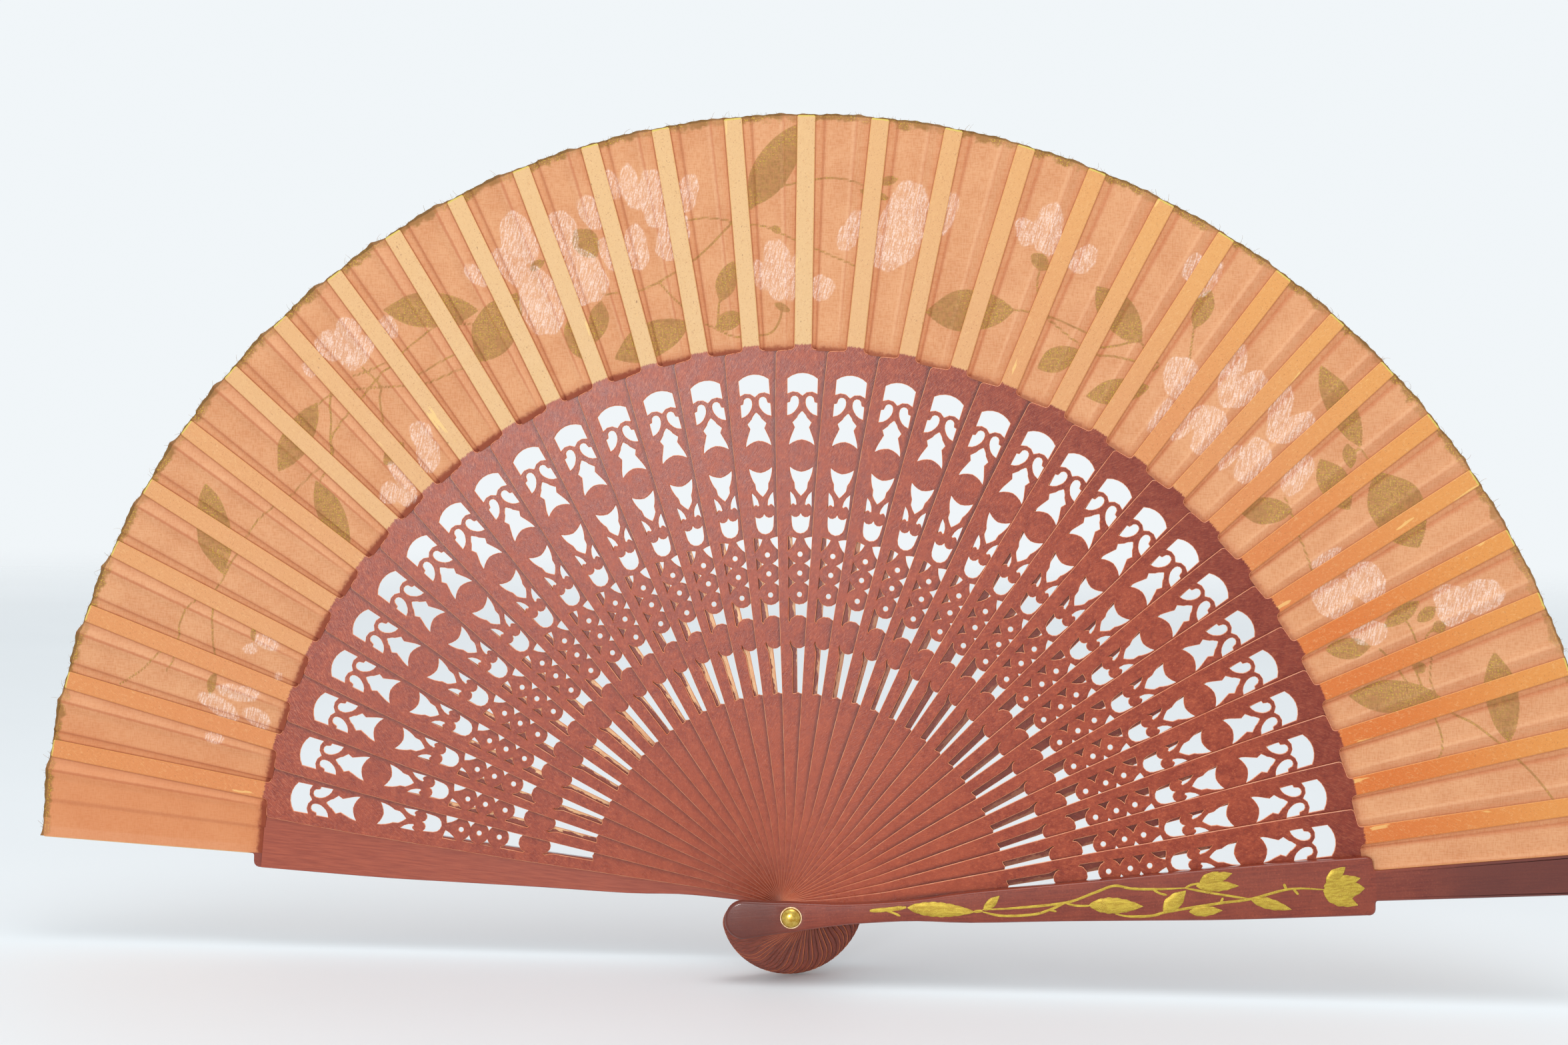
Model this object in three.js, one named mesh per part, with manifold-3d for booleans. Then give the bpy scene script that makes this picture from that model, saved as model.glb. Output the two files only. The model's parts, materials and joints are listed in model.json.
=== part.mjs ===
// A pleated hand fan: thirty-two pierced sticks and two guards turn on one rivet and
// carry a cloth leaf. Millimetres. The fan stands open and upright: X to the right,
// Z up the fan's middle line, and the decorated front faces -Y. The rivet's axis is Y,
// and the origin is on it, halfway through the stack of sticks.
import * as THREE from 'three';
import { mergeVertices } from 'three/addons/utils/BufferGeometryUtils.js';
import Module from 'manifold-3d';

const wasm = await Module();
wasm.setup();

// --- Driving dimensions ---
const STICK_COUNT = 32;
const STICK_PITCH = 0.9; // depth that one stick takes up in the stack
const STICK_THICKNESS = 0.65;
const RIB_THICKNESS = 0.4;
const RIB_WIDTH = 4.6;
const BLADE_RADIUS = 149.7; // from the rivet to the top of the pierced blades
const LEAF_INNER_RADIUS = 150.2;
const LEAF_RADIUS = 212;
const LEAF_THICKNESS = 0.16;
const LEAF_GAP = 0.05; // between the leaf and the wood that carries it

// The open spread: the first intervals are a little wider than the last ones.
const WIDE_INTERVALS = 21;
const WIDE_STEP = 5.34; // degrees
const NARROW_STEP = 4.89;

const GUARD_THICKNESS = 2.6;
const GUARD_BEVEL = 0.7;
const GUARD_SHOULDER_RADIUS = 152;
const GUARD_SLAT_HALF_WIDTHS = [4.05, 5.5]; // at the shoulder and at the tip
const GUARD_SLAT_STEP = 0.1; // how far the slat's outer face lies below the broad part's
const LEAF_RECESS = 0.5; // depth of the step in a guard's inner face that takes the leaf

const PIN_RADIUS = 1.5;
const PIN_HOLE_RADIUS = 1.6;
const STICK_HOLE_RADIUS = 1.75;
const WASHER_RADIUS = 2.9;
const WASHER_THICKNESS = 0.3;
const WASHER_SEAT_RADIUS = 3.2;
const WASHER_SEAT_DEPTH = 0.1;
const DOME_RADIUS = 2.6;
const DOME_HEIGHT = 1.4;
const PEEN_RADIUS = 2.3;
const PEEN_HEIGHT = 0.8;

// --- Derived places ---
const INTERVALS = STICK_COUNT + 1;
const STACK_HALF = (STICK_COUNT * STICK_PITCH) / 2;
const GUARD_FACE = STACK_HALF + GUARD_THICKNESS; // level of a guard's outer face
const SEAT_FACE = GUARD_FACE - WASHER_SEAT_DEPTH;

// Angle between the rear guard and piece number k; the front guard is number INTERVALS.
const spread = (k) =>
  WIDE_STEP * Math.min(k, WIDE_INTERVALS) + NARROW_STEP * Math.max(0, k - WIDE_INTERVALS);
const restAngle = (k) => THREE.MathUtils.degToRad(90 + spread(INTERVALS) / 2 - spread(k));
// Height of stick k's middle in the stack, towards the front.
const stackLevel = (k) => (k - INTERVALS / 2) * STICK_PITCH;

// --- Materials ---
const finish = (color, roughness, metalness = 0) =>
  new THREE.MeshStandardMaterial({ color, roughness, metalness });
const STICK_WOOD = finish(0x8e4230, 0.6);
const GUARD_WOOD = finish(0x7a342b, 0.35);
const LEAF_CLOTH = finish(0xe09a6c, 0.9);
const BRASS = finish(0xd8b33c, 0.3, 1);
const WASHER_BRASS = finish(0xe6cda0, 0.4, 1);

// --- Solids ---
function toSolid(geometry) {
  const bare = geometry.clone();
  bare.deleteAttribute('normal');
  bare.deleteAttribute('uv');
  const merged = mergeVertices(bare, 1e-4);
  return new wasm.Manifold(new wasm.Mesh({
    numProp: 3,
    vertProperties: new Float32Array(merged.attributes.position.array),
    triVerts: new Uint32Array(merged.index.array),
  }));
}

function toGeometry(solid) {
  const mesh = solid.getMesh();
  const geometry = new THREE.BufferGeometry();
  geometry.setAttribute('position', new THREE.BufferAttribute(mesh.vertProperties, 3));
  geometry.setIndex(new THREE.BufferAttribute(mesh.triVerts, 1));
  return geometry;
}

// --- Outlines: x across the stick, y along it from the rivet ---

// An outline from its right-hand and left-hand points, each given as [distance from the
// middle line, radius] from the bottom to the top.
function twoSided(rightPoints, leftPoints) {
  const leftFromTop = leftPoints.filter(([x]) => x > 0).reverse().map(([x, y]) => [-x, y]);
  return [...rightPoints, ...leftFromTop].map(([x, y]) => new THREE.Vector2(x, y));
}
const mirrored = (points) => twoSided(points, points);

// The rounded end beyond the rivet: a quarter of an ellipse from the tip to the full width.
const STICK_HEAD_LENGTH = 18.4; // from the rivet to the tip
const GUARD_HEAD_LENGTH = 17.6;
const HEAD_HALF_WIDTH = 5.1;
const HEAD_ROUND_LENGTH = 5;
function headPoints(headLength, steps) {
  const middle = HEAD_ROUND_LENGTH - headLength;
  return Array.from({ length: steps + 1 }, (_, i) => {
    const turn = (i / steps) * (Math.PI / 2);
    return [HEAD_HALF_WIDTH * Math.sin(turn), middle - HEAD_ROUND_LENGTH * Math.cos(turn)];
  });
}
const NECK_POINTS = [[4.0, 0], [2.9, 12]];

// A blade is wider on its right, where the next stick lies in front of it.
const STICK_FOOT = [...headPoints(STICK_HEAD_LENGTH, 3), ...NECK_POINTS, [2.75, 25]];
const STICK_OUTLINE = twoSided(
  [...STICK_FOOT, [5.2, 58], [6.4, 80.5], [7.4, 107], [7.6, 133], [7.6, BLADE_RADIUS]],
  [...STICK_FOOT, [4.3, 58], [5.4, 80.5], [6.4, 107], [7.2, 133], [7.3, BLADE_RADIUS]],
);
const GUARD_OUTLINE = mirrored([
  ...headPoints(GUARD_HEAD_LENGTH, 5), ...NECK_POINTS, [2.65, 22], [2.85, 33], [4.05, 47],
  [4.95, 71], [6.15, 97], [6.9, 114], [7.4, 136], [7.7, GUARD_SHOULDER_RADIUS],
]);
const [SLAT_HALF_BOTTOM, SLAT_HALF_TOP] = GUARD_SLAT_HALF_WIDTHS;
const SLAT_OUTLINE = mirrored([
  [SLAT_HALF_BOTTOM, GUARD_SHOULDER_RADIUS - 2], [SLAT_HALF_TOP, LEAF_RADIUS],
]);

// The pierced pattern of a blade, from its top to its solid root.
const CROWN_WINDOW = [[0, 137.6], [3.9, 139.1], [4.0, 142.2], [0, 143.4]];
const VASE_WINDOW = [[0, 125.7], [3.38, 124.5], [1.87, 129], [0, 133.2]];
const KITE_WINDOW = [[0, 110.8], [1.9, 114], [3.09, 118.3], [0, 117]];
const CUP_WINDOW = [[0, 100.5], [2.5, 103], [0, 106]];
const LATTICE_SLOT = [[0, 82.5], [1.4, 90], [0, 96]];
const NECK_WINDOW = [[2.3, 78], [2.3, 81]];
const ROOT_SLOT = [[1.33, 58], [1.69, 70]];
const BLADE_WINDOWS = [
  CROWN_WINDOW, VASE_WINDOW, KITE_WINDOW, CUP_WINDOW, LATTICE_SLOT, NECK_WINDOW, ROOT_SLOT,
];

function roundHole(radius) {
  const hole = new THREE.Path();
  hole.absarc(0, 0, radius, 0, 2 * Math.PI, true);
  return hole;
}

// A flat piece of the outline, its underside at z = 0.
function flatPiece(outline, holes, thickness, curveSegments, bevel = 0) {
  const shape = new THREE.Shape(outline);
  shape.holes = holes;
  const geometry = new THREE.ExtrudeGeometry(shape, {
    depth: thickness - 2 * bevel,
    curveSegments,
    bevelEnabled: bevel > 0,
    bevelThickness: bevel,
    bevelSize: bevel,
    bevelOffset: -bevel,
    bevelSegments: 2,
  });
  return geometry.translate(0, 0, bevel);
}

// --- Pieces ---

// A stick is one strip of wood: a pierced blade with a thinner plain rib on top of it.
// The rib is flush with the blade's front, and z = 0 is the middle of the blade.
function stickGeometry() {
  const windows = BLADE_WINDOWS.map((points) => new THREE.Path(mirrored(points)));
  const blade = flatPiece(
    STICK_OUTLINE, [roundHole(STICK_HOLE_RADIUS), ...windows], STICK_THICKNESS, 5,
  );
  const ribStart = BLADE_RADIUS - 2;
  const rib = new THREE.BoxGeometry(RIB_WIDTH, LEAF_RADIUS - ribStart, RIB_THICKNESS);
  rib.translate(0, (LEAF_RADIUS + ribStart) / 2, STICK_THICKNESS - RIB_THICKNESS / 2);
  const stick = toGeometry(toSolid(blade).add(toSolid(rib)));
  return stick.translate(0, 0, -STICK_THICKNESS / 2);
}

// A guard, with its inner face at z = 0 and its outer face towards +z. The blade's long
// edges are rounded, a shallow round seat takes the washer, and the inner face steps back
// above the blades to leave room for the end of the leaf.
function guardSolid() {
  const broad = toSolid(flatPiece(GUARD_OUTLINE, [], GUARD_THICKNESS, 1, GUARD_BEVEL));
  const slatThickness = GUARD_THICKNESS - LEAF_RECESS - GUARD_SLAT_STEP;
  const slat = flatPiece(SLAT_OUTLINE, [], slatThickness, 1);
  slat.translate(0, 0, LEAF_RECESS);
  const recessLength = GUARD_SHOULDER_RADIUS - BLADE_RADIUS + 1;
  const recess = new THREE.BoxGeometry(20, recessLength, 2 * LEAF_RECESS);
  recess.translate(0, BLADE_RADIUS + recessLength / 2, 0);
  const pinHole = cylinderAlongZ(PIN_HOLE_RADIUS, -1, GUARD_THICKNESS + 1);
  const seat = cylinderAlongZ(
    WASHER_SEAT_RADIUS, GUARD_THICKNESS - WASHER_SEAT_DEPTH, GUARD_THICKNESS + 1,
  );
  return broad
    .subtract(toSolid(recess))
    .add(toSolid(slat))
    .subtract(toSolid(pinHole))
    .subtract(toSolid(seat));
}

const ROUND_SIDES = 16;
function cylinderAlongZ(radius, low, high) {
  const cylinder = new THREE.CylinderGeometry(radius, radius, high - low, ROUND_SIDES);
  return cylinder.rotateX(Math.PI / 2).translate(0, 0, (low + high) / 2);
}

// The rivet: a pin through the whole stack, a domed head in front and a low one behind.
function rivetGeometry() {
  const front = SEAT_FACE + WASHER_THICKNESS + 2 * LEAF_GAP;
  const domePoints = Array.from({ length: 6 }, (_, i) => {
    const turn = (i / 5) * (Math.PI / 2);
    return new THREE.Vector2(
      DOME_RADIUS * Math.cos(turn), front + DOME_HEIGHT * Math.sin(turn),
    );
  });
  domePoints[5].x = 0;
  const profile = [
    new THREE.Vector2(0, -front - PEEN_HEIGHT),
    new THREE.Vector2(0.6 * PEEN_RADIUS, -front - 0.85 * PEEN_HEIGHT),
    new THREE.Vector2(PEEN_RADIUS, -front),
    new THREE.Vector2(PIN_RADIUS, -front),
    new THREE.Vector2(PIN_RADIUS, front),
    ...domePoints,
  ];
  return new THREE.LatheGeometry(profile, ROUND_SIDES).rotateX(Math.PI / 2);
}

// A flat ring that lies in a guard's washer seat, its underside at z = 0.
function washerGeometry() {
  const outline = new THREE.Path();
  outline.absarc(0, 0, WASHER_RADIUS, 0, 2 * Math.PI, false);
  return flatPiece(
    outline.getPoints(ROUND_SIDES / 2).slice(0, -1), [roundHole(PIN_HOLE_RADIUS)],
    WASHER_THICKNESS, ROUND_SIDES / 2,
  );
}

// The leaf: one pleated strip of cloth on the backs of the ribs. Every fold lies on a line
// through the rivet. Each interval has two folds, one just after a rib's edge and one
// halfway to the next, and the cloth climbs one stick's pitch between them.
const FOLD_AFTER_RIB = 0.2; // in intervals
const FOLD_BEFORE_RIB = 0.3;
const LEAF_START = -0.28;
function leafGeometry() {
  const ribBack = STICK_THICKNESS / 2 - RIB_THICKNESS;
  const guardLevel = STACK_HALF + LEAF_RECESS - LEAF_GAP - LEAF_THICKNESS / 2;
  const panelLevel = (k) => {
    if (k === 0) return -guardLevel;
    if (k === INTERVALS) return guardLevel;
    return stackLevel(k) + ribBack - LEAF_GAP - LEAF_THICKNESS / 2;
  };
  const stations = [[LEAF_START, panelLevel(0)]];
  for (let k = 0; k < INTERVALS; k += 1) {
    stations.push([k + FOLD_AFTER_RIB, panelLevel(k)]);
    stations.push([k + 1 - FOLD_BEFORE_RIB, panelLevel(k + 1)]);
  }
  stations.push([INTERVALS + FOLD_AFTER_RIB, panelLevel(INTERVALS)]);

  const positions = [];
  for (const [place, level] of stations) {
    const before = Math.min(Math.max(Math.floor(place), 0), INTERVALS - 1);
    const angle = THREE.MathUtils.lerp(restAngle(before), restAngle(before + 1), place - before);
    for (const [radius, side] of [
      [LEAF_INNER_RADIUS, 1], [LEAF_RADIUS, 1], [LEAF_RADIUS, -1], [LEAF_INNER_RADIUS, -1],
    ]) {
      positions.push(
        radius * Math.cos(angle), radius * Math.sin(angle), level + (side * LEAF_THICKNESS) / 2,
      );
    }
  }
  const triangles = [];
  const quad = (a, b, c, d) => triangles.push(a, b, c, a, c, d);
  for (let i = 0; i + 1 < stations.length; i += 1) {
    for (let corner = 0; corner < 4; corner += 1) {
      const next = (corner + 1) % 4;
      quad(4 * i + corner, 4 * i + 4 + corner, 4 * i + 4 + next, 4 * i + next);
    }
  }
  const last = 4 * (stations.length - 1);
  quad(0, 1, 2, 3);
  quad(last + 3, last + 2, last + 1, last);
  const geometry = new THREE.BufferGeometry();
  geometry.setAttribute('position', new THREE.Float32BufferAttribute(positions, 3));
  geometry.setIndex(triangles);
  return geometry;
}

// --- Assembly: built face up with the front towards +z, then stood upright ---
const fan = new THREE.Group();
fan.name = 'folding_fan';
fan.rotation.x = Math.PI / 2;

function addPiece(name, geometry, material, level = 0, angle = Math.PI / 2) {
  const mesh = new THREE.Mesh(geometry, material);
  mesh.name = name;
  mesh.position.z = level;
  mesh.rotation.z = angle - Math.PI / 2;
  fan.add(mesh);
}

const stick = stickGeometry();
for (let k = 1; k <= STICK_COUNT; k += 1) {
  const name = `stick_${String(k).padStart(2, '0')}`;
  addPiece(name, stick, STICK_WOOD, stackLevel(k), restAngle(k));
}

const guard = guardSolid();
const rearGuard = toGeometry(guard.mirror([0, 0, 1]));
addPiece('rear_guard', rearGuard, GUARD_WOOD, -STACK_HALF, restAngle(0));
addPiece('front_guard', toGeometry(guard), GUARD_WOOD, STACK_HALF, restAngle(INTERVALS));

addPiece('leaf', leafGeometry(), LEAF_CLOTH);
addPiece('rivet', rivetGeometry(), BRASS);
const washer = washerGeometry();
addPiece('front_washer', washer, WASHER_BRASS, SEAT_FACE + LEAF_GAP);
addPiece('rear_washer', washer, WASHER_BRASS, -SEAT_FACE - LEAF_GAP - WASHER_THICKNESS);

export default fan;
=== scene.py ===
"""The looks of a sandalwood folding fan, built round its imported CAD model.

Every shape is worked out in millimetres in the fan's own plane, with x to the right, y up
and z towards the decorated front, and then stood up in the frame. The rivet is the origin.
"""
import json
import math
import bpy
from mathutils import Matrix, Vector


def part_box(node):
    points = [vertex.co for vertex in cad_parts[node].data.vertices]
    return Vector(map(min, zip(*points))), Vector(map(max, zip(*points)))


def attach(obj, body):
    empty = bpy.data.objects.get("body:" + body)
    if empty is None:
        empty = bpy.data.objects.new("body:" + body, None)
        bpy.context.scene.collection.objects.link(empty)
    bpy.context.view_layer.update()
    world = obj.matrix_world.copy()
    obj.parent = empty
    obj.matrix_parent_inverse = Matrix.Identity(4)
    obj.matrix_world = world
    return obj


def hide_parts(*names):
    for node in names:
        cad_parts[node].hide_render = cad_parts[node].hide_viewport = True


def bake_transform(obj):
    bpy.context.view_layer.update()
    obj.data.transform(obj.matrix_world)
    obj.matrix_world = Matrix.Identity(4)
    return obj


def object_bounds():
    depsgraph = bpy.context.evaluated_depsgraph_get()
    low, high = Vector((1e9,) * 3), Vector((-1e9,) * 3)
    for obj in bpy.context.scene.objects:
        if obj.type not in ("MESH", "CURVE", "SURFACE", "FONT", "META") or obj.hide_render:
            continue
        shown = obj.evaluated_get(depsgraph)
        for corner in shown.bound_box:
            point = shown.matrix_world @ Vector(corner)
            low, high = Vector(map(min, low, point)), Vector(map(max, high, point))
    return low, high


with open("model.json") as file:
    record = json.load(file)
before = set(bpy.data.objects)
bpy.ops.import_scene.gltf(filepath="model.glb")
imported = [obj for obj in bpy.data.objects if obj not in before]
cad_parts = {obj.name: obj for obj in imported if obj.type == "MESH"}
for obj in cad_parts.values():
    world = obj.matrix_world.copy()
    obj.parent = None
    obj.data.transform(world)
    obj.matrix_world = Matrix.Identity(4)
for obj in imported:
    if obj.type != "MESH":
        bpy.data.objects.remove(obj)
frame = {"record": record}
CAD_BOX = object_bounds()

from types import SimpleNamespace

import bpy
import numpy as np
from mathutils import Matrix, Vector
from mathutils.geometry import tessellate_polygon

MM = 0.001
RANDOM = np.random.default_rng(7)

# --- Driving dimensions, in mm, repeated from the CAD model ---
STICK_COUNT = 32
LAST = STICK_COUNT + 1  # the front guard's number; the rear guard is number 0
TOTAL_SPREAD = 170.82  # degrees between the guards when the fan is open
STICK_THICKNESS = 0.65
RIB_THICKNESS = 0.4
RIB_HALF_WIDTH = 2.35
BLADE_RADIUS = 149.7
LEAF_INNER_RADIUS = 150.2
LEAF_RADIUS = 212.0
GUARD_THICKNESS = 2.6
GUARD_SHOULDER_RADIUS = 152.0
LEAF_RECESS = 0.5
STICK_HOLE_RADIUS = 1.75
PIN_RADIUS = 1.5
PIN_HOLE_RADIUS = 1.6
WASHER_RADIUS = 2.9
DOME_RADIUS = 2.6  # the rivet's front head
PEEN_RADIUS = 2.3  # its rear end

# Where each stick lies, from the frame: its height in the stack towards the front, and its
# share of the whole spread, counted from the rear guard.
STICK_NAMES = [f"stick_{k:02d}" for k in range(1, LAST)]
BODY_NAMES = ["rear_guard", *STICK_NAMES, "front_guard"]


def middle_level(node):
    """The level of a node's middle in the stack, in mm towards the front."""
    low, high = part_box(node)
    return -(low.y + high.y) / 2 / MM


STICK_LEVELS = {k: middle_level(BODY_NAMES[k]) for k in range(1, LAST)}
STACK_HALF = -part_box("front_guard")[1].y / MM
COUPLED = {c["joint"]: c["ratio"] for c in frame["record"]["behaviour"]["couplings"]}
SHARES = np.array([0.0, *[COUPLED[f"{name}_swing"] for name in STICK_NAMES], 1.0])
REST_ANGLES = 90 + TOTAL_SPREAD * (0.5 - SHARES)


# --- Places ---
def stand_up(points):
    """Fan-plane points in mm as frame points in metres."""
    x, y, z = np.asarray(points, float).T
    return np.stack([x, -z, y], axis=1) * MM


def turn_to(points, angle, level=0.0):
    """Points of a piece that lies along +y, turned to that angle and lifted in the stack."""
    turn = math.radians(angle - 90)
    x, y, z = np.asarray(points, float).T
    across = x * math.cos(turn) - y * math.sin(turn)
    along = x * math.sin(turn) + y * math.cos(turn)
    return np.stack([across, along, z + level], axis=1)


# --- Outlines ---
def arc(start, end, rise, steps):
    """Points after start, up to end, on an arc that stands rise to the right of the way."""
    start, end = np.array(start, float), np.array(end, float)
    if abs(rise) < 1e-6:
        return [tuple(end)]
    way = end - start
    chord = np.hypot(*way)
    right = np.array([way[1], -way[0]]) / chord
    radius = (chord**2 / 4 + rise**2) / (2 * rise)
    centre = (start + end) / 2 + right * (rise - radius)
    half_turn = 2 * math.atan(2 * rise / chord)
    arm = start - centre
    points = []
    for i in range(1, steps + 1):
        turn = 2 * half_turn * i / steps
        points.append(tuple(centre + [
            arm[0] * math.cos(turn) - arm[1] * math.sin(turn),
            arm[0] * math.sin(turn) + arm[1] * math.cos(turn),
        ]))
    return points


def trace(corners):
    """An outline from corners (x, y) or (x, y, rise): rise bends the way to that corner."""
    points = [tuple(corners[0][:2])]
    for corner in corners[1:]:
        rise = corner[2] if len(corner) == 3 else 0.0
        chord = math.dist(points[-1], corner[:2])
        steps = max(3, math.ceil(6 * math.atan(2 * abs(rise) / chord))) if rise else 1
        points += arc(points[-1], corner[:2], rise, steps)
    return points


def two_sided(right, left):
    """A closed outline from its right-hand and left-hand points, each from bottom to top."""
    return right + [(-x, y) for x, y in reversed(left) if x > 1e-6]


def mirrored(side):
    """A closed outline whose two sides are alike."""
    return two_sided(side, side)


def mirror_pair(corners):
    """A closed hole on the right side and its mirror image on the left."""
    hole = trace(corners)[:-1]
    return [hole, [(-x, y) for x, y in reversed(hole)]]


def circle(x, y, radius, steps):
    turns = [2 * math.pi * i / steps for i in range(steps)]
    return [(x + radius * math.cos(t), y + radius * math.sin(t)) for t in turns]


STICK_HEAD_LENGTH = 18.4  # from the rivet to the tip
GUARD_HEAD_LENGTH = 17.6
HEAD_HALF_WIDTH = 5.1
HEAD_ROUND_LENGTH = 5.0


def head_points(head_length, steps=12):
    """The right half of the rounded end beyond the rivet, from its tip to its widest place."""
    middle = HEAD_ROUND_LENGTH - head_length
    turns = [math.pi / 2 * i / steps for i in range(steps + 1)]
    return [(HEAD_HALF_WIDTH * math.sin(t), middle - HEAD_ROUND_LENGTH * math.cos(t))
            for t in turns]


NECK_CORNERS = [(4.0, 0, -0.1), (2.9, 12, -0.15)]  # (x, y, rise) above the rounded end

# A blade's sides: distances from the rivet, and how far each side is from the middle there.
# The right side is wider, because the next stick lies in front of it.
BLADE_LEVELS = [25, 42, 58, 68, 80.5, 95, 107, 124, 137]
BLADE_LEFT = [2.75, 3.55, 4.3, 4.8, 5.4, 5.9, 6.4, 6.95, 7.2]
BLADE_RIGHT = [2.75, 3.9, 5.2, 5.9, 6.4, 6.9, 7.4, 7.55, 7.6]
SHOULDER_TILT = 0.35  # the top slopes up by this much each way, from left to right


def stick_side(half_widths, top):
    """One side of a stick from its tip to the foot of its rib, under a shoulder at top."""
    head = head_points(STICK_HEAD_LENGTH)
    neck = trace([head[-1], *NECK_CORNERS])[1:]
    side = half_widths[-1] + 0.05
    shoulder = trace([
        (side, top - 1.0), (side - 1.0, top, 0.29), (RIB_HALF_WIDTH + 1.0, BLADE_RADIUS),
        (RIB_HALF_WIDTH, BLADE_RADIUS + 1.0, -0.3),
    ])
    return [*head, *neck, *zip(half_widths, BLADE_LEVELS), *shoulder]


def stick_outline():
    """A stick's right and left sides, and the number of the point where the rib begins."""
    rib = [(RIB_HALF_WIDTH, BLADE_RADIUS + 1.5), (RIB_HALF_WIDTH + 0.05, LEAF_RADIUS - 0.3),
           (RIB_HALF_WIDTH - 0.25, LEAF_RADIUS)]
    right = stick_side(BLADE_RIGHT, BLADE_RADIUS + SHOULDER_TILT)
    left = stick_side(BLADE_LEFT, BLADE_RADIUS - SHOULDER_TILT)
    return right + rib, left + rib, len(right) - 1


# The pierced pattern, from the crown window under the shoulders down to the root slot.
LATTICE_HOLES = [94.9, 89.8, 84.1]
LATTICE_HOLE_RADIUS = 0.68


def stick_windows():
    """Every hole of a stick: the rivet's, the windows on the middle line and the pairs."""
    centred = [
        [(0, 137.4), (4.0, 137.9, -0.85), (4.05, 141.9), (0, 143.4, 0.38)],
        [(0, 125.7), (3.4, 124.2, -0.3), (2.6, 127.0, 0.1), (1.87, 128.9), (2.5, 130.2),
         (1.3, 131.5), (0.5, 132.7, 0.1), (0, 133.2, 0.05)],
        [(0, 110.6), (1.6, 112.6, 0.1), (1.75, 114.1), (2.2, 114.9), (3.09, 118.3, 0.15),
         (0, 116.95, -0.25)],
        [(0, 100.5), (2.2, 102.5, 0.55), (2.55, 105.4), (0, 105.9, -0.85)],
        [(0, 78.5), (1.4, 78.1, -0.2), (2.5, 76.6, -0.3), (2.85, 77.0), (2.85, 83.2),
         (2.6, 83.2), (0, 81.35, -0.51)],
        [(0, 57.8), (1.33, 57.4, 0.1), (1.62, 68.6), (2.35, 70.9), (2.2, 71.6),
         (1.1, 69.9, -0.3), (0, 69.6, -0.12)],
    ]
    paired = [
        [(4.0, 132.1), (4.0, 135.4), (3.3, 135.6), (3.15, 136.1), (0.95, 136.3, 1.1),
         (1.5, 133.9, 0.25), (4.0, 132.1, 0.35)],
        [(2.9, 107.5), (2.85, 111.7), (1.15, 108.3, 0.4), (1.5, 108.1), (2.2, 108.5, -0.15),
         (2.9, 107.5, -0.1)],
        [(3.3, 95.8), (3.3, 99.6), (1.06, 99.1, 0.1), (3.3, 95.8, 0.3)],
        [(3.1, 90.8), (3.1, 94.1), (1.2, 92.45, -0.15), (3.1, 90.8, -0.2)],
        [(3.0, 85.6), (3.0, 88.9), (1.25, 87.25, -0.15), (3.0, 85.6, -0.2)],
    ]
    windows = [mirrored(trace(corners)) for corners in centred]
    windows = [w[:-1] if math.dist(w[0], w[-1]) < 1e-6 else w for w in windows]
    for corners in paired:
        windows += mirror_pair(corners)
    windows += [circle(0, y, LATTICE_HOLE_RADIUS, 14) for y in LATTICE_HOLES]
    return [circle(0, 0, STICK_HOLE_RADIUS, 20), *windows]


# --- Flat pieces: an outline with holes, run through a profile of (inset, height) steps ---
def signed_area(loop):
    x, y = np.asarray(loop).T
    return 0.5 * float(np.sum(x * np.roll(y, -1) - y * np.roll(x, -1)))


def inset(loop, distance):
    """The loop moved to the left of its way by distance, with mitred corners."""
    after = np.roll(loop, -1, axis=0) - loop
    after /= np.linalg.norm(after, axis=1)[:, None]
    left = np.stack([-after[:, 1], after[:, 0]], axis=1)
    before = np.roll(left, 1, axis=0)
    both = left + before
    reach = np.maximum(np.sum(both * both, axis=1) / 2, 0.5)
    return loop + both / reach[:, None] * distance


def cap_triangles(loops):
    """Triangles of the area inside the first loop and outside the others, facing +z."""
    flat = [[Vector((x, y, 0)) for x, y in loop] for loop in loops]
    points = np.concatenate([np.asarray(loop) for loop in loops])
    triangles = []
    for a, b, c in tessellate_polygon(flat):
        side_b, side_c = points[b] - points[a], points[c] - points[a]
        facing = side_b[0] * side_c[1] - side_b[1] * side_c[0]
        triangles.append((a, b, c) if facing > 0 else (a, c, b))
    return triangles


def flat_piece(outline, holes, profile, parts=None):
    """Vertices, faces and wall marks. The profile goes from the back face to the front one.
    parts splits the outline's caps: lists of outline point numbers, the first with the holes."""
    loops = [np.array(outline)] + [np.array(hole) for hole in holes]
    loops = [loop if (signed_area(loop) > 0) == (i == 0) else loop[::-1]
             for i, loop in enumerate(loops)]
    vertices, faces, walls, starts = [], [], [], []
    for loop in loops:
        count, start = len(loop), len(vertices)
        starts.append(start)
        for step, (distance, height) in enumerate(profile):
            ring = inset(loop, distance)
            vertices += [(x, y, height) for x, y in ring]
            on_wall = 0 < step < len(profile) - 1
            walls += [1.0 if on_wall else 0.0] * count
            if step:
                low, high = start + (step - 1) * count, start + step * count
                for i in range(count):
                    j = (i + 1) % count
                    faces.append((low + i, low + j, high + j, high + i))
    parts = parts or [list(range(len(loops[0])))]
    for number, part in enumerate(parts):
        inner = loops[1:] if number == 0 else []
        for step, flip in ((0, True), (len(profile) - 1, False)):
            distance = profile[step][0]
            rings = [inset(loops[0], distance)[part]] + [inset(h, distance) for h in inner]
            places = [step * len(loops[0]) + i for i in part]
            for start, hole in zip(starts[1:], inner):
                places += [start + step * len(hole) + i for i in range(len(hole))]
            for a, b, c in cap_triangles(rings):
                order = (c, b, a) if flip else (a, b, c)
                faces.append(tuple(places[i] for i in order))
    return np.array(vertices), faces, np.array(walls)


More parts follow.
